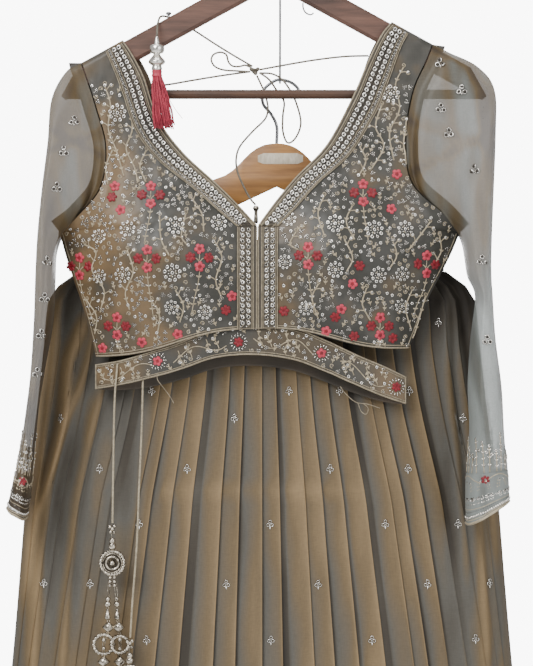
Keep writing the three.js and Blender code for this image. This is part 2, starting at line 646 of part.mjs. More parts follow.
// Neck dori: routes as x, y, z, each starting at the knot or at the back neck edge.
const KNOT = { x: -20, y: 9, z: -191.2, radius: 4.6 };
const END_TUBE = { x: -18.9, y: 3.4, top: -333.7 };
const DORI_ROUTES = {
  dori_tie_left: [
    [-127.6, 7.7, -207], [-111.8, 8.5, -205.9], [-87.8, 9.5, -201.7], [-63.7, 10.5, -197.6],
    [-40, 11.5, -194], [-24.8, 11.6, -192],
  ],
  dori_tie_right: [
    [-15, 10.6, -190], [9.4, 10.6, -185.5], [42, 10, -180], [74.2, 9, -176.3], [99.8, 7.9, -175.6],
  ],
  dori_loop_left: [
    [-24.2, 7.2, -188], [-30.3, 7, -185.6], [-36.6, 7, -187], [-43.9, 7, -186.4], [-48.1, 7, -181.8],
    [-50.2, 7, -174.5], [-56.4, 6.6, -172], [-63.7, 6, -174.5], [-66, 5.6, -180.8], [-61.7, 5, -187.5],
    [-52.2, 4.6, -191], [-40, 4.8, -191.8], [-25, 6, -192.6],
  ],
  dori_loop_right: [
    [-15.4, 7.6, -193.4], [-5.2, 7.6, -200.6], [2.5, 7.8, -211.5], [10.6, 8, -223.6], [9.4, 8, -239.3],
    [9.6, 8, -256], [14.6, 8, -267.5], [23, 8, -262], [28.4, 8, -246.6], [24, 8, -226.6],
    [16.6, 8, -211.1], [8, 9.4, -200], [-2, 10.6, -194.4], [-14.6, 11.6, -193.4],
  ],
  dori_end_down: [
    [-18, 8.4, -196.4], [-13.5, 7.8, -206], [-10, 7.8, -214], [-7.3, 7.8, -223.6], [-6.3, 7.8, -232],
    [-9.4, 7.8, -242.4], [-23, 7.8, -256], [-35.5, 7.8, -270.7], [-39.7, 7.8, -283.2],
    [-38.7, 7.4, -296.8], [-32.4, 6.4, -312.5], [-25.1, 5, -326], [-19.4, 3.6, -333],
  ],
  dori_end_tassel: [
    [-22.6, 10, -186.6], [-33, 10, -180.6], [-47, 9.6, -172.4], [-66, 9.2, -160.5], [-84.6, 9, -148.4],
    [-103, 8.8, -138], [-114, 7, -134.2], [-119.2, 0, -135.2], [-121.2, -7.4, -140.5],
    [-122.2, -13.4, -148], [-122.4, -17.2, -157.4],
  ],
};
const DORI_STEPS = {
  dori_tie_left: 10,
  dori_tie_right: 10,
  dori_loop_left: 22,
  dori_loop_right: 24,
  dori_end_down: 24,
  dori_end_tassel: 22,
};

const asPoints = (route) => route.map(([x, y, z]) => vec(x, y, z));

function dori() {
  const knot = new THREE.SphereGeometry(KNOT.radius, 10, 7);
  knot.scale(1, 0.95, 0.9);
  knot.translate(KNOT.x, KNOT.y, KNOT.z);
  add('dori_knot', closed(knot), CORD);
  for (const [name, route] of Object.entries(DORI_ROUTES)) {
    add(name, tube(asPoints(route), DORI_RADIUS, { steps: DORI_STEPS[name] }), CORD);
  }
  const profile = [[0, 0], [2.2, -0.6], [3.4, -3], [2.2, -5.6], [1.9, -8], [2.3, -18], [0, -18.6]];
  const tip = new THREE.LatheGeometry(profile.map(([r, z]) => new THREE.Vector2(r, z)), 8);
  tip.rotateX(Math.PI / 2);
  tip.translate(END_TUBE.x, END_TUBE.y, END_TUBE.top);
  add('dori_end_tube', closed(tip), SILVER);
}

// Coral tassel with its silver beads
const TASSEL = { x: -122.4, y: -18.6, top: -157.8, root: -193.5, end: -254 };

function tasselBeads() {
  const profile = [
    [0, 0], [1.6, -0.4], [2.6, -5], [3.4, -8.4], [7, -9.4], [7.9, -13.4], [6.6, -17.4], [3.6, -18.6],
    [4.4, -20.4], [8.7, -25.6], [8, -28.6], [4.8, -30.8], [5.2, -31.6], [5.2, -35.2], [0, -35.4],
  ];
  const g = new THREE.LatheGeometry(profile.map(([r, z]) => new THREE.Vector2(r, z)), 12);
  g.rotateX(Math.PI / 2);
  g.translate(TASSEL.x, TASSEL.y, TASSEL.top);
  return closed(g);
}

// One three-sided thread from the head to its tip.
function strand(fromX, fromY, toX, toY, end) {
  const route = [
    [fromX, fromY, TASSEL.root - 1],
    [mix(fromX, toX, 0.75), mix(fromY, toY, 0.75), TASSEL.root - 28],
    [toX, toY, end],
  ];
  const radius = 0.55;
  const grid = route.map(([x, y, z]) => [0, 1, 2].map((corner) => {
    const angle = (2 * Math.PI * corner) / 3;
    return vec(x + radius * Math.cos(angle), y + radius * Math.sin(angle), z);
  }));
  const positions = [];
  grid.forEach((row) => row.forEach((p) => positions.push(p.x, p.y, p.z)));
  const index = [0, 2, 1, 6, 7, 8];
  for (let i = 0; i < 2; i += 1) {
    for (let j = 0; j < 3; j += 1) {
      const a = 3 * i + j;
      const b = 3 * i + ((j + 1) % 3);
      index.push(a, b, b + 3, a, b + 3, a + 3);
    }
  }
  const g = new THREE.BufferGeometry();
  g.setAttribute('position', new THREE.Float32BufferAttribute(positions, 3));
  g.setIndex(index);
  return g;
}

function tasselStrands() {
  const head = new THREE.CylinderGeometry(5.2, 5.2, 2, 12);
  head.rotateX(Math.PI / 2);
  head.translate(TASSEL.x, TASSEL.y, TASSEL.root - 1);
  const solids = [head];
  const golden = Math.PI * (3 - Math.sqrt(5));
  for (let i = 0; i < TASSEL_STRANDS; i += 1) {
    const reach = Math.sqrt((i + 0.5) / TASSEL_STRANDS);
    const angle = i * golden;
    const fromX = TASSEL.x + 4.6 * reach * Math.cos(angle);
    const fromY = TASSEL.y + 4.6 * reach * Math.sin(angle);
    const toX = TASSEL.x + 3 + 12 * reach * Math.cos(angle);
    const toY = TASSEL.y - 4 + 7 * reach * Math.sin(angle);
    const uneven = 6 * Math.sin(2.4 * i);
    solids.push(strand(fromX, fromY, toX, toY, TASSEL.end + uneven));
  }
  return union(solids);
}

// Waist drawstrings and their metal latkans
const DRAWSTRING_ROUTES = {
  drawstring_1: [
    [-164, -11.6, -500], [-165, -12.6, -512], [-166.4, -14.2, -530], [-167.4, -16, -560],
    [-168, -19.4, -610], [-168.6, -23, -666.4],
  ],
  drawstring_2: [
    [-137.2, -12.3, -505], [-137.4, -12.4, -519], [-138.5, -15, -569], [-141.1, -20, -632],
    [-143.2, -26, -690], [-147.3, -32, -747], [-149.4, -36.4, -784.6],
  ],
};

function bead(radius, x, z, stretch = 1) {
  const g = new THREE.SphereGeometry(radius, 6, 4);
  g.rotateX(Math.PI / 2);
  g.scale(1, 1, stretch);
  g.translate(x, 0, z);
  return g;
}

function ringBead(radius, thick, x, z) {
  const g = new THREE.TorusGeometry(radius, thick, 4, 11);
  g.rotateX(Math.PI / 2);
  g.translate(x, 0, z);
  return g;
}

function rod(x0, z0, x1, z1, radius = 0.8) {
  return tube([vec(x0, 0, z0), vec(x1, 0, z1)], radius, { sides: 4, straight: true });
}

function latkan() {
  const parts = [
    bead(5.2, 0, -5.4, 1.1),
    rod(0, -6, 0, -62),
    bead(3.8, 0, -21.6),
    ringBead(12, 2.5, 0, -41),
    ringBead(6.6, 1.4, 0, -41),
    rod(-12, -41, 12, -41),
    bead(3.2, 0, -41),
    rod(-9, -61, 9, -61, 2.2),
  ];
  const branches = [
    { away: -1, x: [-3, -4.5, -4, -5, -9], ring: 10, length: 0 },
    { away: 1, x: [3, 4.5, 5, 6.6, 8], ring: 8.6, length: 2 },
  ];
  for (const { x, ring, length } of branches) {
    parts.push(rod(x[0], -60, x[1], -78));
    parts.push(rod(x[1], -78, x[2], -96));
    parts.push(rod(x[2], -96, x[3], -110));
    parts.push(rod(x[3], -110, x[4], -152 + length));
    parts.push(bead(3, x[1], -78));
    parts.push(bead(3.6, x[2], -94.5, 1.4));
    parts.push(bead(5.6, x[3], -108, 0.9));
    const ringX = mix(x[3], x[4], 0.4);
    parts.push(ringBead(ring, 1.9, ringX + (x[4] > 0 ? 2.5 : -2.5), -126 + length));
    parts.push(bead(5.4, mix(x[3], x[4], 0.7), -143 + length, 0.9));
  }
  return union(parts);
}

function drawstrings() {
  const places = {
    drawstring_1: { name: 'latkan_1', x: -168.7, y: -24.2, z: -667 },
    drawstring_2: { name: 'latkan_2', x: -149.6, y: -39, z: -785 },
  };
  for (const [name, route] of Object.entries(DRAWSTRING_ROUTES)) {
    add(name, tube(asPoints(route), DORI_RADIUS, { steps: 14 }), CORD);
    const place = places[name];
    const group = new THREE.Group();
    group.position.set(place.x, place.y, place.z);
    set.add(group);
    add(place.name, latkan(), SILVER, group);
  }
}

hangers();
choli();
sleeves();
belt();
skirt();
dori();
add('tassel_beads', tasselBeads(), SILVER);
add('tassel_strands', tasselStrands(), CORAL);
drawstrings();

export default set;
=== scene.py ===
import math

import bmesh
import bpy
import mathutils.kdtree
import numpy as np
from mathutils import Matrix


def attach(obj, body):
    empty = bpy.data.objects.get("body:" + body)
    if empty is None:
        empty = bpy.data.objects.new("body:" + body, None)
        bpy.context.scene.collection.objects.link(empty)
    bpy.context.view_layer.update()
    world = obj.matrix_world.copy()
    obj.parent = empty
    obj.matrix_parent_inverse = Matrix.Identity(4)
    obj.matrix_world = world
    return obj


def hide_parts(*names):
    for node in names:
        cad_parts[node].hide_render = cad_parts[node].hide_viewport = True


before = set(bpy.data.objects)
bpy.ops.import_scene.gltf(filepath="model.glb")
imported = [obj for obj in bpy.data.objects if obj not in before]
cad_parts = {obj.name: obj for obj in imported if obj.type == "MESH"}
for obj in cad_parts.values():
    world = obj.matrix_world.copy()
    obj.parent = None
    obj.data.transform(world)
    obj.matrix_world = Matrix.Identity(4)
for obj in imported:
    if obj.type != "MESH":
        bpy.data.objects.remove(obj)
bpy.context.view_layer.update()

# Lengths in the tables are millimetres; meshes are made in metres.
MM = 0.001
SEED = 7


# Camera
VIEW_CENTRE = (-7.8, -20.0, -468.0)
VIEW_HEIGHT = 696.0
VIEW_DISTANCE = 3000.0
SENSOR = 36.0


def add_camera():
    data = bpy.data.cameras.new("camera")
    data.sensor_width = SENSOR
    data.sensor_fit = "AUTO"
    data.lens = SENSOR * VIEW_DISTANCE / VIEW_HEIGHT
    data.clip_end = 30
    camera = bpy.data.objects.new("camera", data)
    x, y, z = VIEW_CENTRE
    camera.location = (x * MM, (y - VIEW_DISTANCE) * MM, z * MM)
    camera.rotation_euler = (math.pi / 2, 0, 0)
    bpy.context.scene.collection.objects.link(camera)
    bpy.context.scene.camera = camera


add_camera()


# Small helpers
PIXEL = 1.045
PIXEL_ORIGIN = (274, -115)
TINY = 1e-9


def px(x, y):
    """The place of a photograph's pixel in the garment's plane."""
    return (x - PIXEL_ORIGIN[0]) * PIXEL, -(y - PIXEL_ORIGIN[1]) * PIXEL


def unit(vectors):
    return vectors / np.maximum(np.linalg.norm(vectors, axis=-1, keepdims=True), TINY)


def distance_along(points):
    """How far along a line each of its points lies."""
    return np.concatenate([[0], np.cumsum(np.linalg.norm(np.diff(points, axis=0), axis=1))])


def to_front(count):
    """The direction out of cloth that faces the front, count times."""
    return np.tile([0.0, -1.0, 0.0], (count, 1))


def smoothstep(a, b, t):
    s = np.clip((np.asarray(t, float) - a) / (b - a), 0, 1)
    return s * s * (3 - 2 * s)


def bump(t, centre, spread):
    return np.exp(-(((t - centre) / spread) ** 2))


LATTICE_SIZE = 64


def lattice(seed):
    return np.random.default_rng(seed).random((LATTICE_SIZE, LATTICE_SIZE)) * 2 - 1


LATTICES = [lattice(SEED + k) for k in range(8)]


def noise(x, z, scale, k=0):
    """Smooth value noise from -1 to 1, with lumps about scale across."""
    grid = LATTICES[k]
    a = np.asarray(x, float) / scale
    b = np.asarray(z, float) / scale
    i = np.floor(a).astype(int)
    j = np.floor(b).astype(int)
    s = smoothstep(0, 1, a - i)
    t = smoothstep(0, 1, b - j)
    g = lambda p, q: grid[p % LATTICE_SIZE, q % LATTICE_SIZE]
    low = g(i, j) * (1 - s) + g(i + 1, j) * s
    high = g(i, j + 1) * (1 - s) + g(i + 1, j + 1) * s
    return low * (1 - t) + high * t


def spline(table, t, corners=()):
    """Catmull-Rom through a table's rows, by row number, broken at the corner rows."""
    table = np.asarray(table, float)
    t = np.clip(np.asarray(t, float), 0, len(table) - 1)
    i = np.minimum(np.floor(t).astype(int), len(table) - 2)
    f = (t - i)[..., None]
    low = np.zeros_like(i)
    high = np.full_like(i, len(table) - 1)
    for c in corners:
        low = np.where(i >= c, np.maximum(low, c), low)
        high = np.where(i < c, np.minimum(high, c), high)
    p1 = table[i]
    p2 = table[i + 1]
    p0 = np.where((i - 1 >= low)[..., None], table[np.maximum(i - 1, 0)], 2 * p1 - p2)
    p3 = np.where((i + 2 <= high)[..., None], table[np.minimum(i + 2, len(table) - 1)], 2 * p2 - p1)
    return 0.5 * (2 * p1 + (p2 - p0) * f + (2 * p0 - 5 * p1 + 4 * p2 - p3) * f**2
                  + (3 * p1 - p0 - 3 * p2 + p3) * f**3)


def by_column(table, column, by, t):
    """Smooth value of one table column where another column has the value t."""
    rows = np.asarray(table, float)
    order = np.argsort(rows[:, by])
    rows = rows[order]
    number = np.interp(t, rows[:, by], np.arange(len(rows)))
    return spline(rows[:, [column]], number)[..., 0]


# Meshes
def link(obj):
    bpy.context.scene.collection.objects.link(obj)
    return obj


def add_piece(name, data):
    obj = link(bpy.data.objects.new(name, data))
    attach(obj, "root")
    return obj


def shade_smooth(data):
    data.polygons.foreach_set("use_smooth", [True] * len(data.polygons))


def mesh_piece(name, verts, faces, material, tone=None, uv=None):
    """A piece from arrays: verts in millimetres, faces as index rows."""
    data = bpy.data.meshes.new(name)
    data.from_pydata((np.asarray(verts) * MM).tolist(), [], np.asarray(faces).tolist())
    data.validate()
    shade_smooth(data)
    if tone is not None:
        layer = data.attributes.new("tone", "FLOAT", "POINT")
        layer.data.foreach_set("value", np.asarray(tone, float).ravel())
    if uv is not None:
        layer = data.uv_layers.new(name="map")
        loops = np.empty(len(data.loops), int)
        data.loops.foreach_get("vertex_index", loops)
        layer.data.foreach_set("uv", np.asarray(uv, float)[loops].ravel())
    data.materials.append(material)
    data.update()
    return add_piece(name, data)


def grid_faces(rows, cols, ring=False):
    i = np.arange(rows - 1)[:, None]
    j = np.arange(cols if ring else cols - 1)[None, :]
    after = (j + 1) % cols
    quads = [i * cols + j, i * cols + after, (i + 1) * cols + after, (i + 1) * cols + j]
    return np.stack([np.broadcast_to(q, (rows - 1, j.shape[1])) for q in quads], -1).reshape(-1, 4)


def closed_grid_faces(rows, cols):
    """The faces of a grid that closes on itself both ways."""
    last = (rows - 1) * cols
    faces = grid_faces(rows, cols, ring=True).tolist()
    return faces + [[last + j, last + (j + 1) % cols, (j + 1) % cols, j] for j in range(cols)]


def grid_piece(name, points, material, ring=False, thickness=0.0, tone=None):
    """A cloth from a grid of points, with the given thickness added on its inside."""
    rows, cols = points.shape[:2]
    y, x = np.mgrid[0:rows, 0:cols]
    uv = np.stack([x / cols, y / rows], -1).reshape(-1, 2)
    obj = mesh_piece(name, points.reshape(-1, 3), grid_faces(rows, cols, ring), material,
                     tone=tone, uv=uv)
    if thickness:
        solid = obj.modifiers.new("thickness", "SOLIDIFY")
        solid.thickness = thickness * MM
        solid.offset = -1
    return obj


def grid_normals(points, ring=False):
    down = np.gradient(points, axis=0)
    if ring:
        padded = np.concatenate([points[:, -1:], points, points[:, :1]], 1)
        along = (padded[:, 2:] - padded[:, :-2]) / 2
    else:
        along = np.gradient(points, axis=1)
    return unit(np.cross(down, along))


def resample(points, step):
    """A smooth line through points, with samples about step apart."""
    points = np.asarray(points, float)
    rows = spline(points, np.linspace(0, len(points) - 1, 40 * len(points)))
    far = distance_along(rows)
    count = max(2, int(round(far[-1] / step)) + 1)
    at = np.linspace(0, far[-1], count)
    return np.stack([np.interp(at, far, rows[:, k]) for k in range(rows.shape[1])], -1)


def length_of(points):
    return float(np.linalg.norm(np.diff(points, axis=0), axis=1).sum())


def curve_piece(name, points, radius, material, closed=False, sides=6):
    data = bpy.data.curves.new(name, "CURVE")
    data.dimensions = "3D"
    data.bevel_depth = radius * MM
    data.bevel_resolution = sides // 2
    data.use_fill_caps = True
    line = data.splines.new("POLY")
    line.points.add(len(points) - 1)
    for point, (x, y, z) in zip(line.points, points):
        point.co = (x * MM, y * MM, z * MM, 1)
    line.use_cyclic_u = closed
    line.use_smooth = True
    data.materials.append(material)
    return add_piece(name, data)


# Materials
def rgb(text):
    """A hexadecimal colour as linear red, green, blue and alpha."""
    parts = [int(text[k:k + 2], 16) / 255 for k in (1, 3, 5)]
    linear = [c / 12.92 if c <= 0.04045 else ((c + 0.055) / 1.055) ** 2.4 for c in parts]
    return (*linear, 1)


class Nodes:
    """A short way to build a material's nodes."""

    def __init__(self, name):
        self.material = bpy.data.materials.new(name)
        self.material.use_nodes = True
        self.tree = self.material.node_tree
        self.shader = self.tree.nodes["Principled BSDF"]
        self.coord = self.new("ShaderNodeTexCoord").outputs["Object"]

    def new(self, kind, inputs=None, **settings):
        node = self.tree.nodes.new(kind)
        for key, value in settings.items():
            setattr(node, key, value)
        for key, value in (inputs or {}).items():
            if isinstance(value, bpy.types.NodeSocket):
                self.tree.links.new(value, node.inputs[key])
            else:
                node.inputs[key].default_value = value
        return node

    def put(self, socket, value):
        if isinstance(value, bpy.types.NodeSocket):
            self.tree.links.new(value, self.shader.inputs[socket])
        else:
            self.shader.inputs[socket].default_value = value

    def noise(self, scale, stretch=(1, 1, 1), detail=3, rough=0.5):
        place = self.new("ShaderNodeMapping", {"Vector": self.coord, "Scale": stretch})
        return self.new("ShaderNodeTexNoise", {
            "Vector": place.outputs[0], "Scale": scale, "Detail": detail, "Roughness": rough,
        }).outputs["Fac"]

    def math(self, kind, a, b):
        return self.new("ShaderNodeMath", {0: a, 1: b}, operation=kind).outputs[0]

    def mix(self, amount, a, b, kind="MIX"):
        node = self.new("ShaderNodeMix", data_type="RGBA", blend_type=kind)
        for socket, value in ((node.inputs[0], amount), (node.inputs[6], a), (node.inputs[7], b)):
            if isinstance(value, bpy.types.NodeSocket):
                self.tree.links.new(value, socket)
            else:
                socket.default_value = value
        return node.outputs[2]

    def ramp(self, fac, stops):
        node = self.new("ShaderNodeValToRGB", {"Fac": fac})
        node.color_ramp.elements[0].position, node.color_ramp.elements[0].color = stops[0]
        node.color_ramp.elements[1].position, node.color_ramp.elements[1].color = stops[-1]
        for position, colour in stops[1:-1]:
            node.color_ramp.elements.new(position).color = colour
        return node.outputs["Color"]

    def tone(self):
        return self.new("ShaderNodeAttribute", attribute_name="tone").outputs["Fac"]

    def relief(self, height, strength, distance):
        node = self.new("ShaderNodeBump", {
            "Height": height, "Strength": strength, "Distance": distance * MM})
        self.put("Normal", node.outputs[0])


def woven(name, dark, light, rough, sheen, weave=0.35, alpha=1.0, shot=None):
    """Cloth with a fine crossed weave. Its tone attribute goes from dark to light, over shot; on the
    choli, skirt and sleeves it carries painted shade, sheen and highlights.
    """
    m = Nodes(name)
    across = m.noise(900, (0.12, 1, 1), 2)
    along = m.noise(900, (1, 1, 0.12), 2)
    threads = m.math("ADD", m.math("MULTIPLY", across, 0.5), m.math("MULTIPLY", along, 0.5))
    soft = m.noise(9, (1, 1, 0.5), 3)
    stops = [(0.0, rgb(dark)), (1.0, rgb(light))]
    if shot:
        stops = [(0.0, rgb(dark)), *[(at, rgb(c)) for at, c in shot], (1.0, rgb(light))]
    base = m.ramp(m.math("ADD", m.tone(), m.math("MULTIPLY", m.math("SUBTRACT", soft, 0.5), 0.25)),
                  stops)
    dimmed = m.ramp(threads, [(0.3, (0.78, 0.78, 0.78, 1)), (0.7, (1.12, 1.12, 1.12, 1))])
    m.put("Base Color", m.mix(weave * 2, base, dimmed, "MULTIPLY"))
    m.put("Roughness", rough)
    m.put("Sheen Weight", sheen)
    m.put("Sheen Roughness", 0.4)
    m.put("Specular IOR Level", 0.35)
    if alpha < 1:
        m.put("Alpha", alpha)
    m.relief(threads, 0.25, 0.25)
    return m.material


def wood(name, dark, light, rough):
    m = Nodes(name)
    streaks = m.noise(26, (0.35, 2.5, 3.2), 6, 0.65)
    fine = m.noise(420, (0.05, 1, 1), 3)
    base = m.ramp(streaks, [(0.3, rgb(dark)), (0.72, rgb(light))])
    grain = m.ramp(fine, [(0.35, (0.8, 0.78, 0.76, 1)), (0.62, (1.05, 1.05, 1.05, 1))])
    m.put("Base Color", m.mix(0.8, base, grain, "MULTIPLY"))
    wear = m.noise(60, (1, 1, 1), 4)
    m.put("Roughness", m.math("ADD", m.math("MULTIPLY", wear, 0.25), rough - 0.12))
    m.put("Coat Weight", 0.15)
    m.put("Coat Roughness", 0.3)
    m.relief(fine, 0.15, 0.3)
    return m.material


def metal(name, colour, rough, tarnish=0.0):
    m = Nodes(name)
    blotch = m.noise(350, detail=4)
    dark = tuple(c * (1 - tarnish) for c in rgb(colour)[:3]) + (1,)
    m.put("Base Color", m.ramp(blotch, [(0.35, dark), (0.6, rgb(colour))]))
    m.put("Metallic", 1.0)
    m.put("Roughness", m.math("ADD", m.math("MULTIPLY", blotch, 0.2), rough - 0.08))
    m.relief(m.noise(1400, detail=2), 0.12, 0.1)
    return m.material


def thread(name, dark, light, rough=0.6, sheen=0.3, ply=1400):
    m = Nodes(name)
    strands = m.noise(ply, (1, 1, 0.35), 2)
    patches = m.noise(160, detail=2)
    base = m.ramp(strands, [(0.34, rgb(dark)), (0.66, rgb(light))])
    m.put("Base Color", m.mix(0.35, base, m.ramp(patches, [(0.3, rgb(dark)), (0.7, rgb(light))])))
    m.put("Roughness", rough)
    m.put("Sheen Weight", sheen)
    m.relief(strands, 0.5, 0.35)
    return m.material


# The satin's grey stops are a painted sheen; its tan is the cloth's own colour.
SATIN = woven("choli satin", "#35342f", "#6d593f", 0.4, 0.05, 0.3,
              shot=[(0.3, "#45433e"), (0.62, "#534838")])
LINING = woven("choli lining", "#35312b", "#554a3e", 0.7, 0.03, 0.3)
# The chiffon's dark end is painted shade in the pleats, its grey a painted sheen, its tan the cloth's
# own colour and its light end a painted highlight on the fold edges.
CHIFFON = woven("skirt chiffon", "#1e1810", "#877151", 0.6, 0.05, 0.35,
                shot=[(0.2, "#3a342b"), (0.4, "#4f4c45"), (0.64, "#625239")])
# The organza's tan is the cloth's own colour, darker as painted shade in folds and creases, and its
# pale grey is a painted sheen.
ORGANZA = woven("sheer organza", "#3d3224", "#8c928f", 0.5, 0.04, 0.4, alpha=0.86,
                shot=[(0.3, "#57482f"), (0.55, "#5a5850"), (0.75, "#676a66")])
SEAM_CLOTH = woven("seam allowance", "#33312d", "#454039", 0.5, 0.05, 0.3)
BAND_CLOTH = woven("band cloth", "#35322c", "#4f473b", 0.55, 0.05, 0.3)
PIPING = thread("piping", "#6b604d", "#aa9d84", 0.5, 0.05, 900)
VINE = thread("vine thread", "#7d6f57", "#cdbfa3", 0.5, 0.05)
CORAL = thread("coral silk", "#981a2f", "#d2455a", 0.5, 0.1)
RED = thread("red silk", "#4c000c", "#97031d", 0.5, 0.06)
TASSEL_SILK = thread("tassel silk", "#7c1428", "#c94155", 0.5, 0.1, 2200)
CORD = thread("cord", "#453f36", "#7a7264", 0.6, 0.05, 1100)
PALE_CORD = thread("pale cord", "#746a57", "#b0a48b", 0.6, 0.05, 1100)
# Dark thread for the painted shadow in the sequins' holes; the neck band's dark lines use it too.
SHADE = thread("sequin eye", "#241f1a", "#3d362e", 0.8, 0.0)
SEQUIN = metal("sequin silver", "#f4f0e8", 0.2, 0.3)
BEAD = metal("silver bead", "#cfc6b6", 0.2, 0.72)
DARK_METAL = metal("tarnished silver", "#6b6357", 0.3, 0.5)
STEEL = metal("hook steel", "#8f9092", 0.22, 0.4)
RED_WOOD = wood("red wood", "#3d281f", "#6d4c3e", 0.5)
BAR_WOOD = wood("bar wood", "#261307", "#4d2d13", 0.55)
PAPER = thread("label paper", "#b9ac96", "#d9cfbd", 0.8, 0.0, 500)
GOLD_WOOD = wood("golden wood", "#7c5224", "#b5834a", 0.4)


# Cords
KNOT = (-20, 9, -191.2)
CORD_RADIUS = 1.1
DORI_ROUTES = {
    "dori_tie_left": [
        (-127.6, 7.7, -207), (-111.8, 8.5, -205.9), (-87.8, 9.5, -201.7), (-63.7, 10.5, -197.6),
        (-40, 11.5, -194), (-24.8, 11.6, -192),
    ],
    "dori_tie_right": [
        (-15, 10.6, -190), (9.4, 10.6, -185.5), (42, 10, -180), (74.2, 9, -176.3),
        (99.8, 7.9, -175.6),
    ],
    "dori_loop_left": [
        (-24.2, 7.2, -188), (-30.3, 7, -185.6), (-36.6, 7, -187), (-43.9, 7, -186.4),
        (-48.1, 7, -181.8), (-50.2, 7, -174.5), (-56.4, 6.6, -172), (-63.7, 6, -174.5),
        (-66, 5.6, -180.8), (-61.7, 5, -187.5), (-52.2, 4.6, -191), (-40, 4.8, -191.8),
        (-25, 6, -192.6),
    ],
    "dori_loop_right": [
        (-15.4, 7.6, -193.4), (-5.2, 7.6, -200.6), (2.5, 7.8, -211.5), (10.6, 8, -223.6),
        (9.4, 8, -239.3), (9.6, 8, -256), (14.6, 8, -267.5), (23, 8, -262), (28.4, 8, -246.6),
        (24, 8, -226.6), (16.6, 8, -211.1), (8, 9.4, -200), (-2, 10.6, -194.4),
        (-14.6, 11.6, -193.4),
    ],
    "dori_end_down": [
        (-18, 8.4, -196.4), (-13.5, 7.8, -206), (-10, 7.8, -214), (-7.3, 7.8, -223.6),
        (-6.3, 7.8, -232), (-9.4, 7.8, -242.4), (-23, 7.8, -256), (-35.5, 7.8, -270.7),
        (-39.7, 7.8, -283.2), (-38.7, 7.4, -296.8), (-32.4, 6.4, -312.5), (-25.1, 5, -326),
        (-19.4, 3.6, -333),
    ],
    "dori_end_tassel": [
        (-22.6, 10, -186.6), (-33, 10, -180.6), (-47, 9.6, -172.4), (-66, 9.2, -160.5),
        (-84.6, 9, -148.4), (-103, 8.8, -138), (-114, 7, -134.2), (-119.2, 0, -135.2),
        (-121.2, -7.4, -140.5), (-122.2, -13.4, -148), (-122.4, -17.2, -157.4),
    ],
}
DRAWSTRING_ROUTES = {
    "drawstring_1": [
        (-164, -11.6, -500), (-165, -12.6, -512), (-166.4, -14.2, -530), (-167.4, -16, -560),
        (-168, -19.4, -610), (-168.6, -23, -666.4),
    ],
    "drawstring_2": [
        (-137.2, -12.3, -505), (-137.4, -12.4, -519), (-138.5, -15, -569), (-141.1, -20, -632),
        (-143.2, -26, -690), (-147.3, -32, -747), (-149.4, -36.4, -784.6),
    ],
}


def cord_piece(name, route, material):
    """A round two-ply cord along the route, in place of the node of the same name."""
    points = resample(route, 2.5)
    obj = curve_piece(f"{name}_cord", points, CORD_RADIUS, material, sides=8)
    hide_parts(name)
    return obj, points


def knot_piece():
    """An overhand knot: three turns of the same cord pulled tight round each other."""
    t = np.linspace(0, 2 * np.pi, 90, endpoint=False)
    x = KNOT[0] + 3.0 * np.sin(t) + 1.3 * np.sin(2 * t + 0.6)
    y = KNOT[1] + 1.8 * np.cos(3 * t)
    z = KNOT[2] + 2.0 * np.cos(t) - 1.3 * np.cos(2 * t)
    obj = curve_piece("dori_knot_turns", np.stack([x, y, z], -1), 1.9, CORD, closed=True)
    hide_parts("dori_knot")
    return obj


def lathe(profile, centre, sides=28, flute=0.0, flutes=0):
    """A turned form from radius and height pairs, hanging down from its centre."""
    profile = np.asarray(profile, float)
    angle = np.linspace(0, 2 * np.pi, sides, endpoint=False)
    wave = 1 + flute * np.cos(flutes * angle)
    r = profile[:, :1] * wave[None]
    x = centre[0] + r * np.cos(angle)
    y = centre[1] + r * np.sin(angle)
    z = centre[2] + np.broadcast_to(profile[:, 1:], x.shape)
    return np.stack([x, y, z], -1).reshape(-1, 3), grid_faces(len(profile), sides, ring=True)


def smooth_profile(profile, count=40):
    return spline(profile, np.linspace(0, len(profile) - 1, count))


class Heap:
    """Many small forms gathered into one piece."""

    def __init__(self):
        self.verts = []
        self.faces = []
        self.count = 0

    def add(self, verts, faces):
        verts = np.asarray(verts, float).reshape(-1, 3)
        self.verts.append(verts)
        self.faces.extend([[corner + self.count for corner in face] for face in faces])
        self.count += len(verts)

    def stamp(self, form, frames, scale=1.0):
        """Puts a form, in its own right, up and out, at each frame."""
        verts, faces = form
        place, right, up, out = frames
        scale = np.broadcast_to(scale, (len(place),))[:, None, None]
        moved = place[:, None] + scale * (verts[None, :, :1] * right[:, None]
                                          + verts[None, :, 1:2] * up[:, None]
                                          + verts[None, :, 2:] * out[:, None])
        for one in moved:
            self.add(one, faces)

    def piece(self, name, material, slot):
        data = bpy.data.meshes.new(name)
        verts = np.concatenate(self.verts) * MM
        data.from_pydata(verts.tolist(), [], self.faces)
        data.validate()
        mesh = bmesh.new()
        mesh.from_mesh(data)
        bmesh.ops.recalc_face_normals(mesh, faces=mesh.faces)
        mesh.to_mesh(data)
        mesh.free()
        shade_smooth(data)
        data.materials.append(material)
        return add_piece(name, data)


def strand(points, out, radius):
    """A fine four-sided thread along points that lie on a surface with the normals out."""
    side = unit(np.cross(np.gradient(points, axis=0), out))
    rows = np.stack([side, out, -side, -0.4 * out], 1) * radius + points[:, None]
    count = len(points)
    faces = grid_faces(count, 4, ring=True).tolist()
    faces += [[3, 2, 1, 0], [4 * count - 4 + j for j in range(4)]]
    return rows.reshape(-1, 3), faces


def turned(profile, sides):
    """A ring with the given closed section, as radius and height over the cloth."""
    profile = np.asarray(profile, float)
    angle = np.linspace(0, 2 * np.pi, sides, endpoint=False)
    x = profile[:, :1] * np.cos(angle)
    y = profile[:, :1] * np.sin(angle)
    z = np.broadcast_to(profile[:, 1:], x.shape)
    return np.stack([x, y, z], -1).reshape(-1, 3), closed_grid_faces(len(profile), sides)


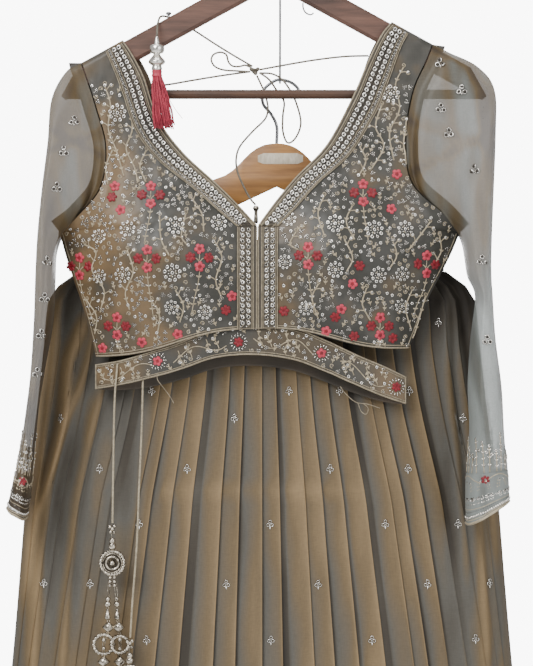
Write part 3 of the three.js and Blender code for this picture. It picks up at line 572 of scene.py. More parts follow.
END_TUBE = (-18.9, 3.4, -333.7)
END_TUBE_PROFILE = [
    (0.1, 0), (2.2, -0.6), (3.4, -3), (2.2, -5.6), (1.9, -8), (2.3, -18), (0.1, -18.6),
]
TASSEL = {"x": -122.4, "y": -18.6, "top": -157.8, "root": -193.5, "end": -254}
TASSEL_PROFILE = [
    (0.1, 0), (1.6, -0.4), (2.6, -5), (3.4, -8.4), (7, -9.4), (7.9, -13.4), (6.6, -17.4),
    (3.6, -18.6), (4.4, -20.4), (8.7, -25.6), (8, -28.6), (4.8, -30.8), (5.2, -31.6), (5.2, -35.2),
    (0.1, -35.4),
]


# Tassel and latkans
STRANDS = 150


def round_strand(points, radius, sides=3):
    """A fine closed thread with three sides that hangs along points."""
    ahead = np.gradient(points, axis=0)
    side = unit(np.cross(ahead, [0.3, 1.0, 0.1]))
    other = unit(np.cross(ahead, side))
    angle = np.linspace(0, 2 * np.pi, sides, endpoint=False)
    ring = (side[:, None] * np.cos(angle)[:, None] + other[:, None] * np.sin(angle)[:, None]) * radius
    verts = (points[:, None] + ring).reshape(-1, 3)
    faces = grid_faces(len(points), sides, ring=True).tolist()
    faces += [list(range(sides))[::-1], [len(verts) - sides + j for j in range(sides)]]
    return verts, faces


def add_tassel():
    rng = np.random.default_rng(SEED + 50)
    heap = Heap()
    x, y, root = TASSEL["x"], TASSEL["y"], TASSEL["root"]
    head = [(0.1, 0.6), (4.4, 0.4), (5.3, -1.0), (5.0, -3.2), (5.4, -5.0), (5.0, -6.4), (0.1, -6.6)]
    heap.add(*lathe(smooth_profile(head, 26), (x, y, root), sides=30, flute=0.02, flutes=15))
    t = np.linspace(0, 1, 9)[:, None]
    for k in range(STRANDS):
        a = 2 * np.pi * k * 0.618
        spread = math.sqrt((k + 0.5) / STRANDS)
        start = np.array([x + 4.8 * spread * math.cos(a), y + 4.8 * spread * math.sin(a), root - 5])
        end = np.array([x + 8 + 11 * spread * math.cos(a) + rng.uniform(-1, 1),
                        y - 4 + 7 * spread * math.sin(a) + rng.uniform(-1, 1),
                        TASSEL["end"] + rng.uniform(-1.5, 5)])
        bulge = np.array([math.cos(a), math.sin(a), 0]) * rng.uniform(0.5, 1.6)
        sway = np.array([rng.uniform(-1.6, 1.6), rng.uniform(-1, 1), 0])
        points = start * (1 - t) + end * t + bulge * np.sin(np.pi * t) + sway * np.sin(2 * np.pi * t)
        heap.add(*round_strand(points, 0.5))
    stray = resample([
        (x + 6, y - 5, root - 14), (x + 13, y - 8, root - 30), (x + 20, y - 9, root - 42),
        (x + 27, y - 9, root - 51),
    ], 2)
    heap.add(*round_strand(stray, 0.35))
    obj = heap.piece("tassel_silk_strands", TASSEL_SILK, "coral_thread")
    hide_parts("tassel_strands")


def rope_ring(centre, radius, thick, turns=30, sides=7):
    """A standing ring of twisted wire that faces the front."""
    count = max(turns * 4, 40)
    a = np.linspace(0, 2 * np.pi, count, endpoint=False)[:, None]
    b = np.linspace(0, 2 * np.pi, sides, endpoint=False)[None]
    r = thick * (1 + 0.42 * np.cos(turns * a + b) * (1 < turns))
    x = centre[0] + (radius + r * np.cos(b)) * np.cos(a)
    z = centre[2] + (radius + r * np.cos(b)) * np.sin(a)
    y = centre[1] + r * np.sin(b)
    return np.stack([x, y, z], -1).reshape(-1, 3), closed_grid_faces(count, sides)


def ball_profile(r):
    a = np.linspace(0.03, np.pi - 0.03, 12)
    return [(r * math.sin(t), r * (math.cos(t) - 1)) for t in a]


def add_ball(heap, radius, place, sides):
    heap.add(*lathe(ball_profile(radius), place, sides=sides))


LATKANS = {"latkan_1": (-168.7, -24.2, -667), "latkan_2": (-149.6, -39, -785)}
LATKAN_BRANCHES = (
    (-1, [(-3, -61), (-4.5, -78), (-5, -94.5), (-4, -108), (-9, -126), (-9, -143)], 10.2),
    (1, [(3, -61), (4.5, -78), (5, -94.5), (6.6, -108), (8, -126), (8, -143)], 8.8),
)


def add_latkan(name, place):
    """A metal pendant: knot, balls, roped medallion and two branches with rings and drops."""
    x, y, z = place
    at = lambda dx, dz, dy=0: (x + dx, y + dy, z + dz)
    top = Heap()
    for dx, dz in ((-2.4, -1.2), (2.2, -0.8), (0.2, -3.2), (-1.6, -6.6), (1.8, -7)):
        add_ball(top, 2.0, at(dx, dz, -1), 14)
    add_ball(top, 3.3, at(0, -14.5), 20)
    top.add(*lathe([(0.5, 0), (0.5, -16)], at(-0.8, -1), sides=6))
    crown = top.piece(f"{name}_top", BEAD, "silver_beads")
    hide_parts(name)
    body = Heap()
    add_ball(body, 4.2, at(0, -19), 20)
    centre = at(0, -41)
    body.add(*rope_ring(centre, 12.2, 1.8, 26))
    body.add(*rope_ring(at(0, -41, -0.6), 9.8, 0.6, 1, 6))
    body.add(*rope_ring(at(0, -41, -1.4), 6.6, 1.2, 1, 8))
    dish = [(10.6, -0.4), (8, 0.6), (4, 1.0), (0.1, 1.2), (0.1, 2.0), (10.8, 0.8)]
    form = turned([(r, -h) for r, h in dish], 32)
    plate = Heap()
    plate.add(form[0] @ np.array([[1, 0, 0], [0, 0, 1], [0, -1, 0]]) + np.array(centre), form[1])
    plate.piece(f"{name}_dish", DARK_METAL, "silver_beads")
    add_ball(body, 3.0, at(0, -38, -1.6), 18)
    for dz in (-56.5, -60.5, -64.5):
        for dx in (-2.3, 2.3):
            add_ball(body, 1.9, at(dx, dz + 2, -0.6), 12)
    for side, line, ring in LATKAN_BRANCHES:
        for offset in (-1.1, 1.1):
            wire = resample([at(p[0] + offset, p[1], 0.3) for p in line], 2.5)
            body.add(*round_strand(wire, 0.45, 5))
        at_branch = dict((p[1], p[0]) for p in line)
        add_ball(body, 2.6, at(at_branch[-78], -76), 14)
        add_ball(body, 3.4, at(at_branch[-78] * 1.05, -80.5), 16)
        drop = [(0.1, 0), (1.2, -0.6), (1.6, -3), (3.0, -8.5), (2.4, -11), (0.1, -12)]
        body.add(*lathe(smooth_profile(drop, 18), at(at_branch[-94.5], -88.5), sides=16))
        cone = [(0.1, 0), (1.8, -0.8), (6.8, -6), (1.8, -11), (0.1, -12)]
        body.add(*lathe(cone, at(at_branch[-108], -102), sides=18))
        middle = at(at_branch[-126], -126, -0.8 * side)
        body.add(*rope_ring(middle, ring, 1.9, 18))
        add_ball(body, 2.6, at(at_branch[-126], -118.5, -0.8 * side), 14)
        add_ball(body, 2.2, at(at_branch[-126], -128, -0.8 * side), 14)
        body.add(*lathe(cone, at(at_branch[-143], -138), sides=18))
        add_ball(body, 1.8, at(at_branch[-143], -149.6), 12)
    obj = body.piece(f"{name}_metal", BEAD, "silver_beads")
    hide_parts(name)
    return crown


def add_cords():
    for name, route in DORI_ROUTES.items():
        cord_piece(name, route, CORD)
    for name, route in DRAWSTRING_ROUTES.items():
        cord_piece(name, route, PALE_CORD)
    knot_piece()
    tube = Heap()
    tube.add(*lathe(smooth_profile(END_TUBE_PROFILE), END_TUBE))
    end_tube = tube.piece("dori_end_tube_cap", BEAD, "silver_beads")
    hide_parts("dori_end_tube")
    beads = Heap()
    centre = (TASSEL["x"], TASSEL["y"], TASSEL["top"])
    beads.add(*lathe(smooth_profile(TASSEL_PROFILE, 70), centre, sides=36))
    tassel_beads = beads.piece("tassel_bead_stack", SEQUIN, "silver_beads")
    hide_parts("tassel_beads")
    add_tassel()
    crowns = {name: add_latkan(name, place) for name, place in LATKANS.items()}


add_cords()


# Hangers
HOOK_BEND = 20
HOOK_MIDDLE = -18.25
HOOK_WIRE = 1.75
LINK_WIRE = 1.2
HOOK_ROUTE = [(0, 0, -72.9), (0, 0, -52), (-7, 0, -42)] + [
    (HOOK_BEND * math.cos(math.radians(a)), 0, HOOK_MIDDLE + HOOK_BEND * math.sin(math.radians(a)))
    for a in (205, 180, 150, 120, 90, 60, 30, 0, -20)
]
LINK_ROUTE = [
    (6.5, 0, -108.2), (6.5, 0, -125), (6.5, 6, -150), (6.5, 20, -178), (6.5, 28.6, -191),
    (6.5, 30.8, -198.3), (6.5, 32.4, -201.2), (6.5, 35, -202), (6.5, 37.6, -201.2),
    (6.5, 39.2, -198.3),
]
LOWER_DEPTH = 35
LOWER_HOOK_ROUTE = [
    (x, LOWER_DEPTH, z) for x, z in [
        (3, -266.2), (3, -248), (-3, -235), (-11.5, -224), (-11, -210), (-1, -200.8),
        (7.3, -198.5), (17.8, -201.2), (25, -207), (27.2, -212.7),
    ]
]


def paint(node, material):
    """Gives a CAD node, whose shape is kept, a material."""
    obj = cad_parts[node]
    obj.data.materials.clear()
    obj.data.materials.append(material)


HANGER_THICKNESS = 11
LOWER_MIDDLE = 3
LOWER_CROWN = -266.5
# The lower hanger's right half, as x and z from its crown.
LOWER_HALF = [
    (0, 0), (7, -0.3), (14, -1.8), (21, -5), (28, -10), (34, -15.8), (40, -22.3), (47, -28.8),
    (55, -34), (66, -38), (80, -44.2), (120, -66.4), (160, -88.5), (170, -103), (168, -124.5),
    (0, -46),
]
LOWER_OUTLINE = [(x, LOWER_CROWN + z) for x, z in LOWER_HALF]
LOWER_OUTLINE += [(-x, LOWER_CROWN + z) for x, z in LOWER_HALF[-2:0:-1]]
LABEL_OUTLINE = [
    (-24, -279.5), (-18, -277), (18, -277), (24, -279.5), (24, -286), (18, -288.5), (-18, -288.5),
    (-24, -286),
]
LABEL_MIDDLE = 7
LABEL_THICKNESS = 0.35
# How a board's edge is eased, as side, share of the inset and share of the rise.
BOARD_EDGE = [
    (-0.5, 1, 0.0), (-0.5, 0.3, 0.3), (-0.5, 0, 1.0), (0.5, 0, 1.0), (0.5, 0.3, 0.3), (0.5, 1, 0.0),
]


def board_piece(name, outline, centre, thick, material, edge=1.1):
    """A flat board with eased edges, from its outline as x and z round centre x and y."""
    outline = np.array(outline, float)
    ahead = np.roll(outline, -1, 0) - np.roll(outline, 1, 0)
    inward = np.stack([ahead[:, 1], -ahead[:, 0]], -1)
    inward = edge * inward / np.linalg.norm(inward, axis=1, keepdims=True)
    rows = []
    for side, inset, rise in BOARD_EDGE:
        flat = outline + inset * inward
        y = centre[1] + side * thick + rise * edge * (1 if side < 0 else -1)
        rows.append(np.stack([centre[0] + flat[:, 0], np.full(len(flat), y), flat[:, 1]], -1))
    count = len(outline)
    total = len(rows) * count
    faces = grid_faces(len(rows), count, ring=True).tolist()
    faces += [list(range(count)), list(range(total - 1, total - count - 1, -1))]
    heap = Heap()
    heap.add(np.concatenate(rows), faces)
    slot = "gold_wood" if material is GOLD_WOOD else "trim"
    return heap.piece(name, material, slot)


def add_hangers():
    paint("hanger_upper", RED_WOOD)
    paint("hanger_crossbar", BAR_WOOD)
    board = board_piece("lower_hanger_board", LOWER_OUTLINE, (LOWER_MIDDLE, LOWER_DEPTH),
                        HANGER_THICKNESS, GOLD_WOOD)
    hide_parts("lower_hanger")
    label_centre = (LABEL_MIDDLE, LOWER_DEPTH - HANGER_THICKNESS / 2 - 0.1)
    board_piece("lower_hanger_label", LABEL_OUTLINE, label_centre, LABEL_THICKNESS, PAPER, 0.1)
    paint("hanger_peg", STEEL)
    paint("hanger_strap_hook", STEEL)
    wires = {
        "hanger_hook": (HOOK_ROUTE, HOOK_WIRE),
        "hanger_link": (LINK_ROUTE, LINK_WIRE),
        "lower_hanger_hook": (LOWER_HOOK_ROUTE, HOOK_WIRE),
    }
    for name, (route, radius) in wires.items():
        points = resample(route, 1.5)
        obj = curve_piece(f"{name}_wire", points, radius, STEEL, sides=10)
        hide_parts(name)


add_hangers()


# Choli
CHOLI_ROWS = {
    "left": {
        "neck": [
            (-158.8, -159.8), (-157.5, -162.5), (-149, -175), (-136, -200), (-121, -243),
            (-96, -278), (-60, -312), (-35, -337), (-17.5, -356.3), (-17.5, -378), (-17.5, -399),
            (-17.5, -420), (-17.5, -442), (-17.5, -463.5),
        ],
        "back": [
            (-158.8, -159.8), (-156.5, -162.5), (-143, -177), (-129, -205), (-121.5, -245),
            (-113, -290), (-95, -330), (-60, -352), (-17.5, -372), (-17.5, -390), (-17.5, -408),
            (-17.5, -427), (-17.5, -447), (-17.5, -466),
        ],
        "side": [
            (-201.7, -183.4), (-201, -186.2), (-196, -200.4), (-186.6, -229.6), (-175.5, -272.5),
            (-180.7, -315.4), (-204, -344.6), (-222, -358.8), (-225.7, -361.6), (-219, -386),
            (-211, -411), (-202, -437), (-194, -466), (-187, -493),
        ],
    },
    "right": {
        "neck": [
            (124, -140.7), (122, -143.5), (112, -156), (98, -184), (82, -221), (55, -271),
            (22, -306), (0, -333), (-16.9, -356.3), (-16.9, -378), (-16.9, -399), (-16.9, -420),
            (-16.9, -442), (-16.9, -463.5),
        ],
        "back": [
            (124, -140.7), (121.5, -143.5), (109, -158), (96, -187), (88, -228), (79, -275),
            (60, -318), (25, -345), (-16.9, -372), (-16.9, -390), (-16.9, -408), (-16.9, -427),
            (-16.9, -447), (-16.9, -466),
        ],
        "side": [
            (166.2, -163.9), (165.2, -167), (159, -182.9), (145, -215.4), (137.6, -263.3),
            (143.8, -311.1), (177.3, -343.6), (192.4, -359.5), (195.4, -362.6), (187, -383),
            (176, -405), (163, -430), (152, -458), (142, -484),
        ],
    },
}
UNDERARM_ROW = 8
HEM_ROW = 13
CHOLI_CENTRE = -17.2
CUP = {"offset": 97, "height": -394, "depth": 24, "spread_x": 55, "spread_z": 48}
# Creases of the front as middle x and z, length, width, angle in degrees and height.
CREASES = {
    "left": [
        (-127, -415, 42, 5, 88, -2.2), (-150, -352, 26, 6, 25, 1.2), (-196, -392, 24, 7, 30, -1.5),
        (-92, -440, 26, 6, -20, 1.2), (-60, -420, 30, 7, 62, -1.2), (-178, -440, 20, 6, 12, 1.0),
        (-160, -300, 22, 6, 70, -0.9), (-176, -235, 18, 5, 78, 0.9),
    ],
    "right": [
        (80, -412, 42, 5, -88, -2.2), (110, -352, 26, 6, -28, 1.3), (150, -385, 24, 7, -35, -1.5),
        (46, -440, 26, 6, 22, 1.2), (20, -415, 30, 7, -62, -1.2), (124, -440, 20, 6, -16, 1.0),
        (112, -300, 24, 6, -64, -1.0), (130, -225, 18, 5, -72, 0.9),
    ],
}


def shoulder_line(x):
    return -75.2 - 0.55 * np.abs(x) + 2.7


def fullness(x, z, face):
    t = np.clip((shoulder_line(x) - z) / 8, 0, 1)
    roll = 6.75 * np.sqrt(1 - (1 - t) ** 2)
    if face == "back":
        return roll + 3 * smoothstep(-200, -330, z)
    across = (np.abs(x - CHOLI_CENTRE) - CUP["offset"]) / CUP["spread_x"]
    down = (z - CUP["height"]) / CUP["spread_z"]
    cup = CUP["depth"] * np.exp(-(across**2 + down**2) / 2)
    return roll + 12 * smoothstep(-175, -400, z) + cup


def crease_height(side, x, z):
    total = 0.0
    for cx, cz, length, width, angle, height in CREASES[side]:
        a = math.radians(angle)
        along = (x - cx) * math.cos(a) + (z - cz) * math.sin(a)
        across = -(x - cx) * math.sin(a) + (z - cz) * math.cos(a)
        across = across + 1.6 * np.sin(along / 9)
        total = total + height * np.exp(-((along / length) ** 2) - (across / width) ** 2)
    return total


def choli_point(side, face, v, u):
    """A point of the choli, u from the neck or centre edge to the side, v by table row."""
    rows = CHOLI_ROWS[side]
    near = spline(rows["back" if face == "back" else "neck"], v, (UNDERARM_ROW,))
    far = spline(rows["side"], v, (UNDERARM_ROW,))
    u = np.asarray(u, float)[..., None]
    x, z = np.moveaxis(near * (1 - u) + far * u, -1, 0)
    u = u[..., 0]
    z = z + 4 * np.sin(2 * np.pi * u) * smoothstep(10, HEM_ROW, v)
    closing = 1 - smoothstep(5, UNDERARM_ROW, v) * u**5
    seam = 1 + 0.75 * smoothstep(0, 2, v)
    y = seam + fullness(x, z, face) * closing
    calm = smoothstep(0, 0.12, u) * smoothstep(0, 0.12, 1 - u) * smoothstep(0.5, 3, v)
    if face == "front":
        ripple = 0.55 * noise(x, z, 11, 1) + 0.35 * noise(x, z, 5, 2)
        y = y + calm * (crease_height(side, x, z) + ripple) * smoothstep(13, 11.5, v)
    sign = 1 if face == "back" else -1
    return np.stack([x, sign * y, z], -1)


def choli_tone(side, x, z):
    """Where the satin shows its own tan, 1, or a painted grey sheen, 0, with streaks of painted sheen
    and shade as over folds.
    """
    if side == "left":
        tan = 1 - smoothstep(-150, -95, x + 0.25 * (z + 400))
    else:
        tan = 1 - smoothstep(20, 75, x + 0.2 * (z + 400))
        tan = np.maximum(tan, 0.5 * bump(z, -455, 20))
    top = smoothstep(-250, -190, z)
    tan = tan * (1 - top) + 0.5 * top
    # Streaks of painted sheen and shade, as over folds.
    folds = 0.5 * noise(x + 0.5 * z, z - 0.5 * x, 30, 3) + 0.22 * noise(x, z, 10, 4)
    return np.clip(0.12 + (0.8 if side == "left" else 0.45) * tan + folds, 0, 1)


def choli_grid(side, face, rows, cols):
    v, u = np.meshgrid(np.linspace(0, HEM_ROW, rows), np.linspace(0, 1, cols), indexing="ij")
    return choli_point(side, face, v, u)


def column_order(points, sign):
    """The order of a grid's columns that turns its faces towards sign times +Y."""
    n = grid_normals(points)[..., 1].sum()
    return slice(None) if n * -sign > 0 else slice(None, None, -1)


def quad_out(points, sign):
    return points[:, column_order(points, sign)]


CHOLI_GRID = {"front": (125, 84), "back": (90, 50)}
CHOLI_WALL = 1.2


def add_choli():
    for side in ("left", "right"):
        for face, sign in (("front", -1), ("back", 1)):
            points = quad_out(choli_grid(side, face, *CHOLI_GRID[face]), sign)
            tone = choli_tone(side, points[..., 0], points[..., 2])
            obj = grid_piece(f"choli_{face}_{side}_cloth", points, SATIN,
                             thickness=CHOLI_WALL, tone=tone)
            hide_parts(f"choli_{face}_{side}")


add_choli()


# Skirt

# Skirt levels as z, half width, depth, middle y, pleat depth and fan.
SKIRT_ROWS = [
    (-402.8, 195, 9, 35, 1.2, 0),
    (-426, 225, 12, 36, 2.5, 0),
    (-500, 234, 18, 39, 3.5, 0),
    (-644, 251.3, 30, 41, 5, 0.2),
    (-860, 270, 52, 41, 7, 0.38),
    (-1200, 298, 84, 41, 9.5, 0.38),
    (-1560, 329.6, 112, 41, 12, 0.38),
]
SKIRT_CENTRE = -13
SKIRT_SEAM = 2.35
CROSS_CREASE = px(0, 492)[1]
PLEATS = 26
# One knife pleat as its place across, its rise and its tone, from one fold to the next. The tone
# paints light: painted shadow just past each fold, a grey painted sheen, then the tan cloth, a painted
# highlight on the fold's edge and painted shadow in the underlap.
PLEAT_PROFILE = [
    (0.00, 0.16, 0.08), (0.05, 0.18, 0.3), (0.14, 0.26, 0.46), (0.28, 0.40, 0.56),
    (0.46, 0.56, 0.66), (0.62, 0.70, 0.74), (0.78, 0.83, 0.8), (0.90, 0.92, 0.92),
    (0.965, 0.94, 1.2), (0.985, 0.89, 0.95), (0.98, 0.78, 0.35), (0.968, 0.56, 0.1),
    (0.965, 0.34, 0.05), (0.98, 0.2, 0.05),
]
# Soft folds at the two sides: their line as px x and y, then half width and height.
SIDE_FOLDS = [
    ([(92, 300), (85, 320), (66, 365), (62, 420), (48, 480), (38, 560), (30, 680)], 8, 5.5),
    ([(96, 320), (91, 347), (80, 385), (65, 420), (57, 450), (33, 520), (22, 600)], 6, 4.5),
    ([(104, 380), (100, 395), (88, 440), (76, 500), (68, 580), (60, 680)], 7, 5),
    ([(62, 262), (52, 330), (44, 400), (34, 480), (26, 560)], 7, 4),
    ([(450, 262), (458, 300), (466, 370), (474, 440), (484, 540), (492, 680)], 7, 5),
    ([(448, 270), (450, 320), (452, 380), (462, 470), (470, 580)], 6, 4.5),
    ([(462, 268), (474, 310), (484, 380), (492, 470), (500, 560)], 6, 4),
]


def skirt_row(z):
    return [by_column(SKIRT_ROWS, k, 0, z) for k in (1, 2, 3, 4, 5)]


def skirt_spread(u, fan):
    """Where a pleat line lies across the skirt: the middle ones fan out below."""
    return u * (1 + fan * (1 - u**2))


def side_fold_height(x, z):
    total = 0.0
    for line, width, height in SIDE_FOLDS:
        places = np.array([px(*p) for p in line])
        order = np.argsort(places[:, 1])
        middle = np.interp(z, places[order, 1], places[order, 0])
        inside = smoothstep(places[:, 1].min() - 30, places[:, 1].min() + 30, z)
        inside = inside * smoothstep(places[:, 1].max() + 8, places[:, 1].max() - 20, z)
        lean = (x - middle) / width
        ridge = np.where(lean > 0, np.exp(-((lean / 0.55) ** 2)), np.exp(-((lean / 1.3) ** 2)))
        total = total + height * inside * ridge
    return total


def skirt_point(face, u, rise, z, wander=0.0):
    half, depth, middle, pleat, fan = skirt_row(z)
    across = skirt_spread(u, fan)
    across = np.clip(across + wander, -1, 1)
    x = SKIRT_CENTRE + half * across
    out = 1 if face == "back" else -1
    round_ = np.sqrt(np.clip(1 - np.abs(across) ** 4, 0, 1))
    y = SKIRT_SEAM + np.maximum(0, depth - SKIRT_SEAM) * round_
    if face == "front":
        at_side = np.maximum(smoothstep(-148, -185, x), smoothstep(168, 190, x))
        y = y + rise * pleat * (1 - 0.75 * at_side) + side_fold_height(x, z)
        y = y + 1.2 * noise(x, z, 60, 5) * smoothstep(-420, -560, z)
    else:
        y = y + rise * pleat
    return np.stack([x, middle + out * y, z], -1)


def skirt_grid(face, levels):
    """The pleated panel: one column for each point of each pleat."""
    rng = np.random.default_rng(SEED + (1 if face == "back" else 0))
    width = 2 / PLEATS
    columns = []
    for pleat in range(PLEATS):
        wobble = rng.uniform(-0.1, 0.1)
        lift = rng.uniform(0.5, 1.1)
        shade = rng.uniform(-0.16, 0.12)
        slip = rng.uniform(-0.24, 0.24)
        for across, rise, tone in PLEAT_PROFILE:
            place = -1 + (pleat + across + slip * (pleat not in (0, PLEATS - 1))) * width
            columns.append((place, rise * lift, tone + shade, wobble))
    columns.append((1, 0.1, 0.1, 0))
    u, rise, tone, wobble = np.array(columns).T
    z = np.linspace(SKIRT_ROWS[0][0], SKIRT_ROWS[-1][0], levels)
    zz, uu = np.meshgrid(z, u, indexing="ij")
    rr = np.broadcast_to(rise, uu.shape)
    sway = wobble * np.sin((zz + 400) / 140) * 0.02 * smoothstep(-430, -560, zz)
    ends = smoothstep(1, 0.92, np.abs(uu))
    points = skirt_point(face, uu, rr, zz, sway * ends)
    tones = np.broadcast_to(tone, uu.shape)
    x = points[..., 0]
    patches = noise(x, zz * 0.16, 26, 6) + 0.5 * noise(x, zz * 0.24, 11, 7)
    tones = 0.72 * tones + 0.12
    if face == "front":
        # At the sides the pleats' painted light gives way to a grey painted sheen, with a painted
        # highlight on the soft folds' ridges.
        side = np.maximum(smoothstep(-120, -165, x), smoothstep(165, 195, x))
        soft = 0.38 + 0.085 * side_fold_height(x, zz) + 0.1 * patches
        tones = tones * (1 - 0.8 * side) + 0.8 * side * soft
        # A painted highlight runs along the cross crease.
        crease = CROSS_CREASE + 5 * noise(x, zz * 0, 40, 1)
        tones = tones + 0.16 * bump(zz, crease, 2.2) * (np.abs(x) < 120)
        # Painted shadow under the right sleeve, down the skirt's right side.
        tones = tones - 0.3 * smoothstep(160, 180, x) * smoothstep(-560, -470, zz)
    tones = tones + 0.15 * patches
    # Painted shadow darkens the skirt's top, under the belt and choli.
    clear_of_top_shadow = smoothstep(-425, -480, zz)
    tones = np.clip(tones - 0.3 * (1 - clear_of_top_shadow), 0, 1)
    return points, tones


SKIRT_LEVELS = {"front": 76, "back": 34}
SKIRT_WALL = 0.9


def add_skirt():
    for face, sign in (("front", -1), ("back", 1)):
        points, tones = skirt_grid(face, SKIRT_LEVELS[face])
        order = column_order(points, sign)
        obj = grid_piece(f"skirt_{face}_cloth", points[:, order], CHIFFON,
                         thickness=SKIRT_WALL, tone=tones[:, order])
        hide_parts(f"skirt_{face}")
    # The waistband carries no tone, so it takes the chiffon's darkest colour, the painted shade.
    paint("skirt_waistband", CHIFFON)
    paint("hanging_loop_left", BAND_CLOTH)
    paint("hanging_loop_right", BAND_CLOTH)


add_skirt()


# Belt

# Belt stations as x, top and bottom.
BELT_ROWS = [
    (-188, -501.6, -526.7), (-161, -497, -522), (-133, -488.6, -515.5), (-100, -478.5, -506.5),
    (-62, -463, -493.8), (-20, -458.5, -490.6), (23, -463, -496.4), (60, -478, -510.5),
    (88, -491.5, -523), (114, -502.5, -534), (139, -514.5, -542.4),
]
BELT = {"centre": -23.5, "half": 165, "front": 18, "back": 8, "sag": 12, "edge": 1.95}
BELT_ENDS = (-188, 139)


def belt_point(face, x, down, lift=0.0):
    """A point of the belt, down from 0 at its top edge to 1 at its bottom edge."""
    x = np.asarray(x, float)
    top = by_column(BELT_ROWS, 1, 0, x)
    bottom = by_column(BELT_ROWS, 2, 0, x)
    open_ = np.clip(1 - ((x - BELT["centre"]) / BELT["half"]) ** 4, 0, 1)
    y = BELT["edge"] + BELT[face] * open_ + lift
    drop = BELT["sag"] * open_ if face == "back" else 0
    z = top * (1 - down) + bottom * down - drop
    if face == "front":
        y = y + 0.35 * noise(x, z, 12, 1)
    return np.stack([x, y if face == "back" else -y, z], -1)


def add_belt():
    for face, sign in (("front", -1), ("back", 1)):
        down, x = np.meshgrid(np.linspace(0, 1, 16), np.linspace(*BELT_ENDS, 170), indexing="ij")
        points = quad_out(belt_point(face, x, down), sign)
        tone = np.clip(0.5 + 0.5 * noise(points[..., 0], points[..., 2], 30, 2), 0, 1)
        material = SATIN if face == "front" else LINING
        obj = grid_piece(f"belt_{face}_cloth", points, material,
                         thickness=CHOLI_WALL, tone=tone)
        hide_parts(f"belt_{face}")


add_belt()


# Sleeves

# Rings from the armhole to the wrist: outer x and z, inner x and z, follow, half and middle.
SLEEVE_ROWS = {
    "left": [
        (-202.1, -183.2, -226.1, -361.8, 1, 0, 0), (-218, -193, -226.5, -368, 0.8, 16, -1),
        (-233, -222, -228, -374, 0.55, 20, -4), (-237, -268, -229, -382, 0.25, 27, -8),
        (-243, -322, -229, -396, 0, 34, -13), (-247.7, -381, -229.5, -420, 0, 38, -17),
        (-250, -455, -232, -460, 0, 40, -20), (-253, -508, -241, -510, 0, 41, -22),
        (-257, -545, -247, -548, 0, 42, -23), (-263, -585, -250.5, -590, 0, 42, -24),
        (-272, -630, -256, -640, 0, 42, -24), (-276.5, -650, -260, -662, 0, 42, -24),
    ],
    "right": [
        (166.6, -163.7, 195.8, -362.8, 1, 0, 0), (184, -172.5, 196.5, -369, 0.9, 18, 0),
        (213, -187, 198, -374, 0.7, 20, -1), (231, -212, 199, -381, 0.45, 22, -6),
        (232, -262, 200, -390, 0.2, 30, -11), (227, -385, 203, -409, 0, 36, -15),
        (228, -432, 211, -430, 0, 38, -18), (231, -476, 206, -474, 0, 40, -20),
        (237, -524, 203, -522, 0, 41, -22), (239.5, -572, 204.5, -570, 0, 42, -23),
        (243, -620, 201, -628, 0, 41, -28), (243.5, -642, 201.5, -668, 0, 41, -28),
    ],
}
AROUND = [0, 0.08, 0.2, 0.34, 0.5, 0.66, 0.8, 0.92, 1]
ARMHOLE_GAP = 1.3
FOLD_FADE = 0.8
# Soft lengthwise folds of a sleeve: place round half the ring, half width, height, first row
# and last row.
SLEEVE_FOLDS = {
    "left": [(0.25, 0.07, 1.6, 1, 9), (0.55, 0.08, -2.0, 2, 11), (0.8, 0.06, 1.4, 1, 7)],
    "right": [(0.2, 0.06, 1.8, 1, 8), (0.42, 0.07, -2.0, 1, 6), (0.62, 0.07, 2.0, 3, 11),
              (0.85, 0.05, -1.4, 2, 10)],
}


def armhole_edge(side, k):
    line = CHOLI_ROWS[side]["side"][: UNDERARM_ROW + 1]
    away = -1 if side == "left" else 1
    here = spline(line, k)
    ahead = spline(line, np.minimum(k + 0.3, UNDERARM_ROW)) - spline(line, np.maximum(k - 0.3, 0))
    ahead = unit(ahead)
    shift = ARMHOLE_GAP * away
    return np.stack([here[..., 0] - shift * ahead[..., 1], here[..., 1] + shift * ahead[..., 0]], -1)


def sleeve_point(side, t, s, back):
    """A sleeve point: t by table row from the armhole to the wrist, s round half the ring."""
    rows = np.array(SLEEVE_ROWS[side], float)
    row = spline(rows, t)
    share = ((1 - np.cos(np.pi * s)) / 2)[..., None]
    k = np.interp(s, AROUND, range(len(AROUND)))
    straight = row[..., :2] * (1 - share) + row[..., 2:4] * share
    bend = armhole_edge(side, k) - (rows[0, :2] * (1 - share) + rows[0, 2:4] * share)
    x, z = np.moveaxis(straight + np.clip(row[..., 4:5], 0, 1) * bend, -1, 0)
    swell = np.sin(np.pi * np.clip(s, 0, 1)) ** 0.6
    half = np.maximum(row[..., 5], 0)
    sign = np.where(back, 1.0, -1.0)
    y = row[..., 6] + sign * half * swell
    edge = choli_point(side, "front", k, np.ones_like(k))[..., 1]
    start = smoothstep(1, 0, t)
    y = y * (1 - start) + np.where(back, -edge, edge) * start * np.minimum(1, 3 * swell)
    loose = smoothstep(0.1, 1.2, t)
    folds = 0.0
    for place, width, height, first, last in SLEEVE_FOLDS[side]:
        here = bump(s + 0.02 * np.sin(2.2 * t + place * 9), place, width)
        begun = smoothstep(first - FOLD_FADE, first + FOLD_FADE, t)
        unfinished = smoothstep(last + FOLD_FADE, last - FOLD_FADE, t)
        folds = folds + height * here * begun * unfinished
    ripple = 1.0 * noise(x + np.where(back, 90, 0), z, 26, 2) + 0.5 * noise(x, z, 9, 5)
    y = y + sign * loose * (folds + ripple) * np.minimum(1, 2 * swell)
    return np.stack([x, y, z], -1)


def sleeve_ring(around):
    """Position round half the ring, and whether it is on the back, for a whole ring."""
    s = np.where(around <= 0.5, around * 2, 2 - around * 2)
    return s, around > 0.5


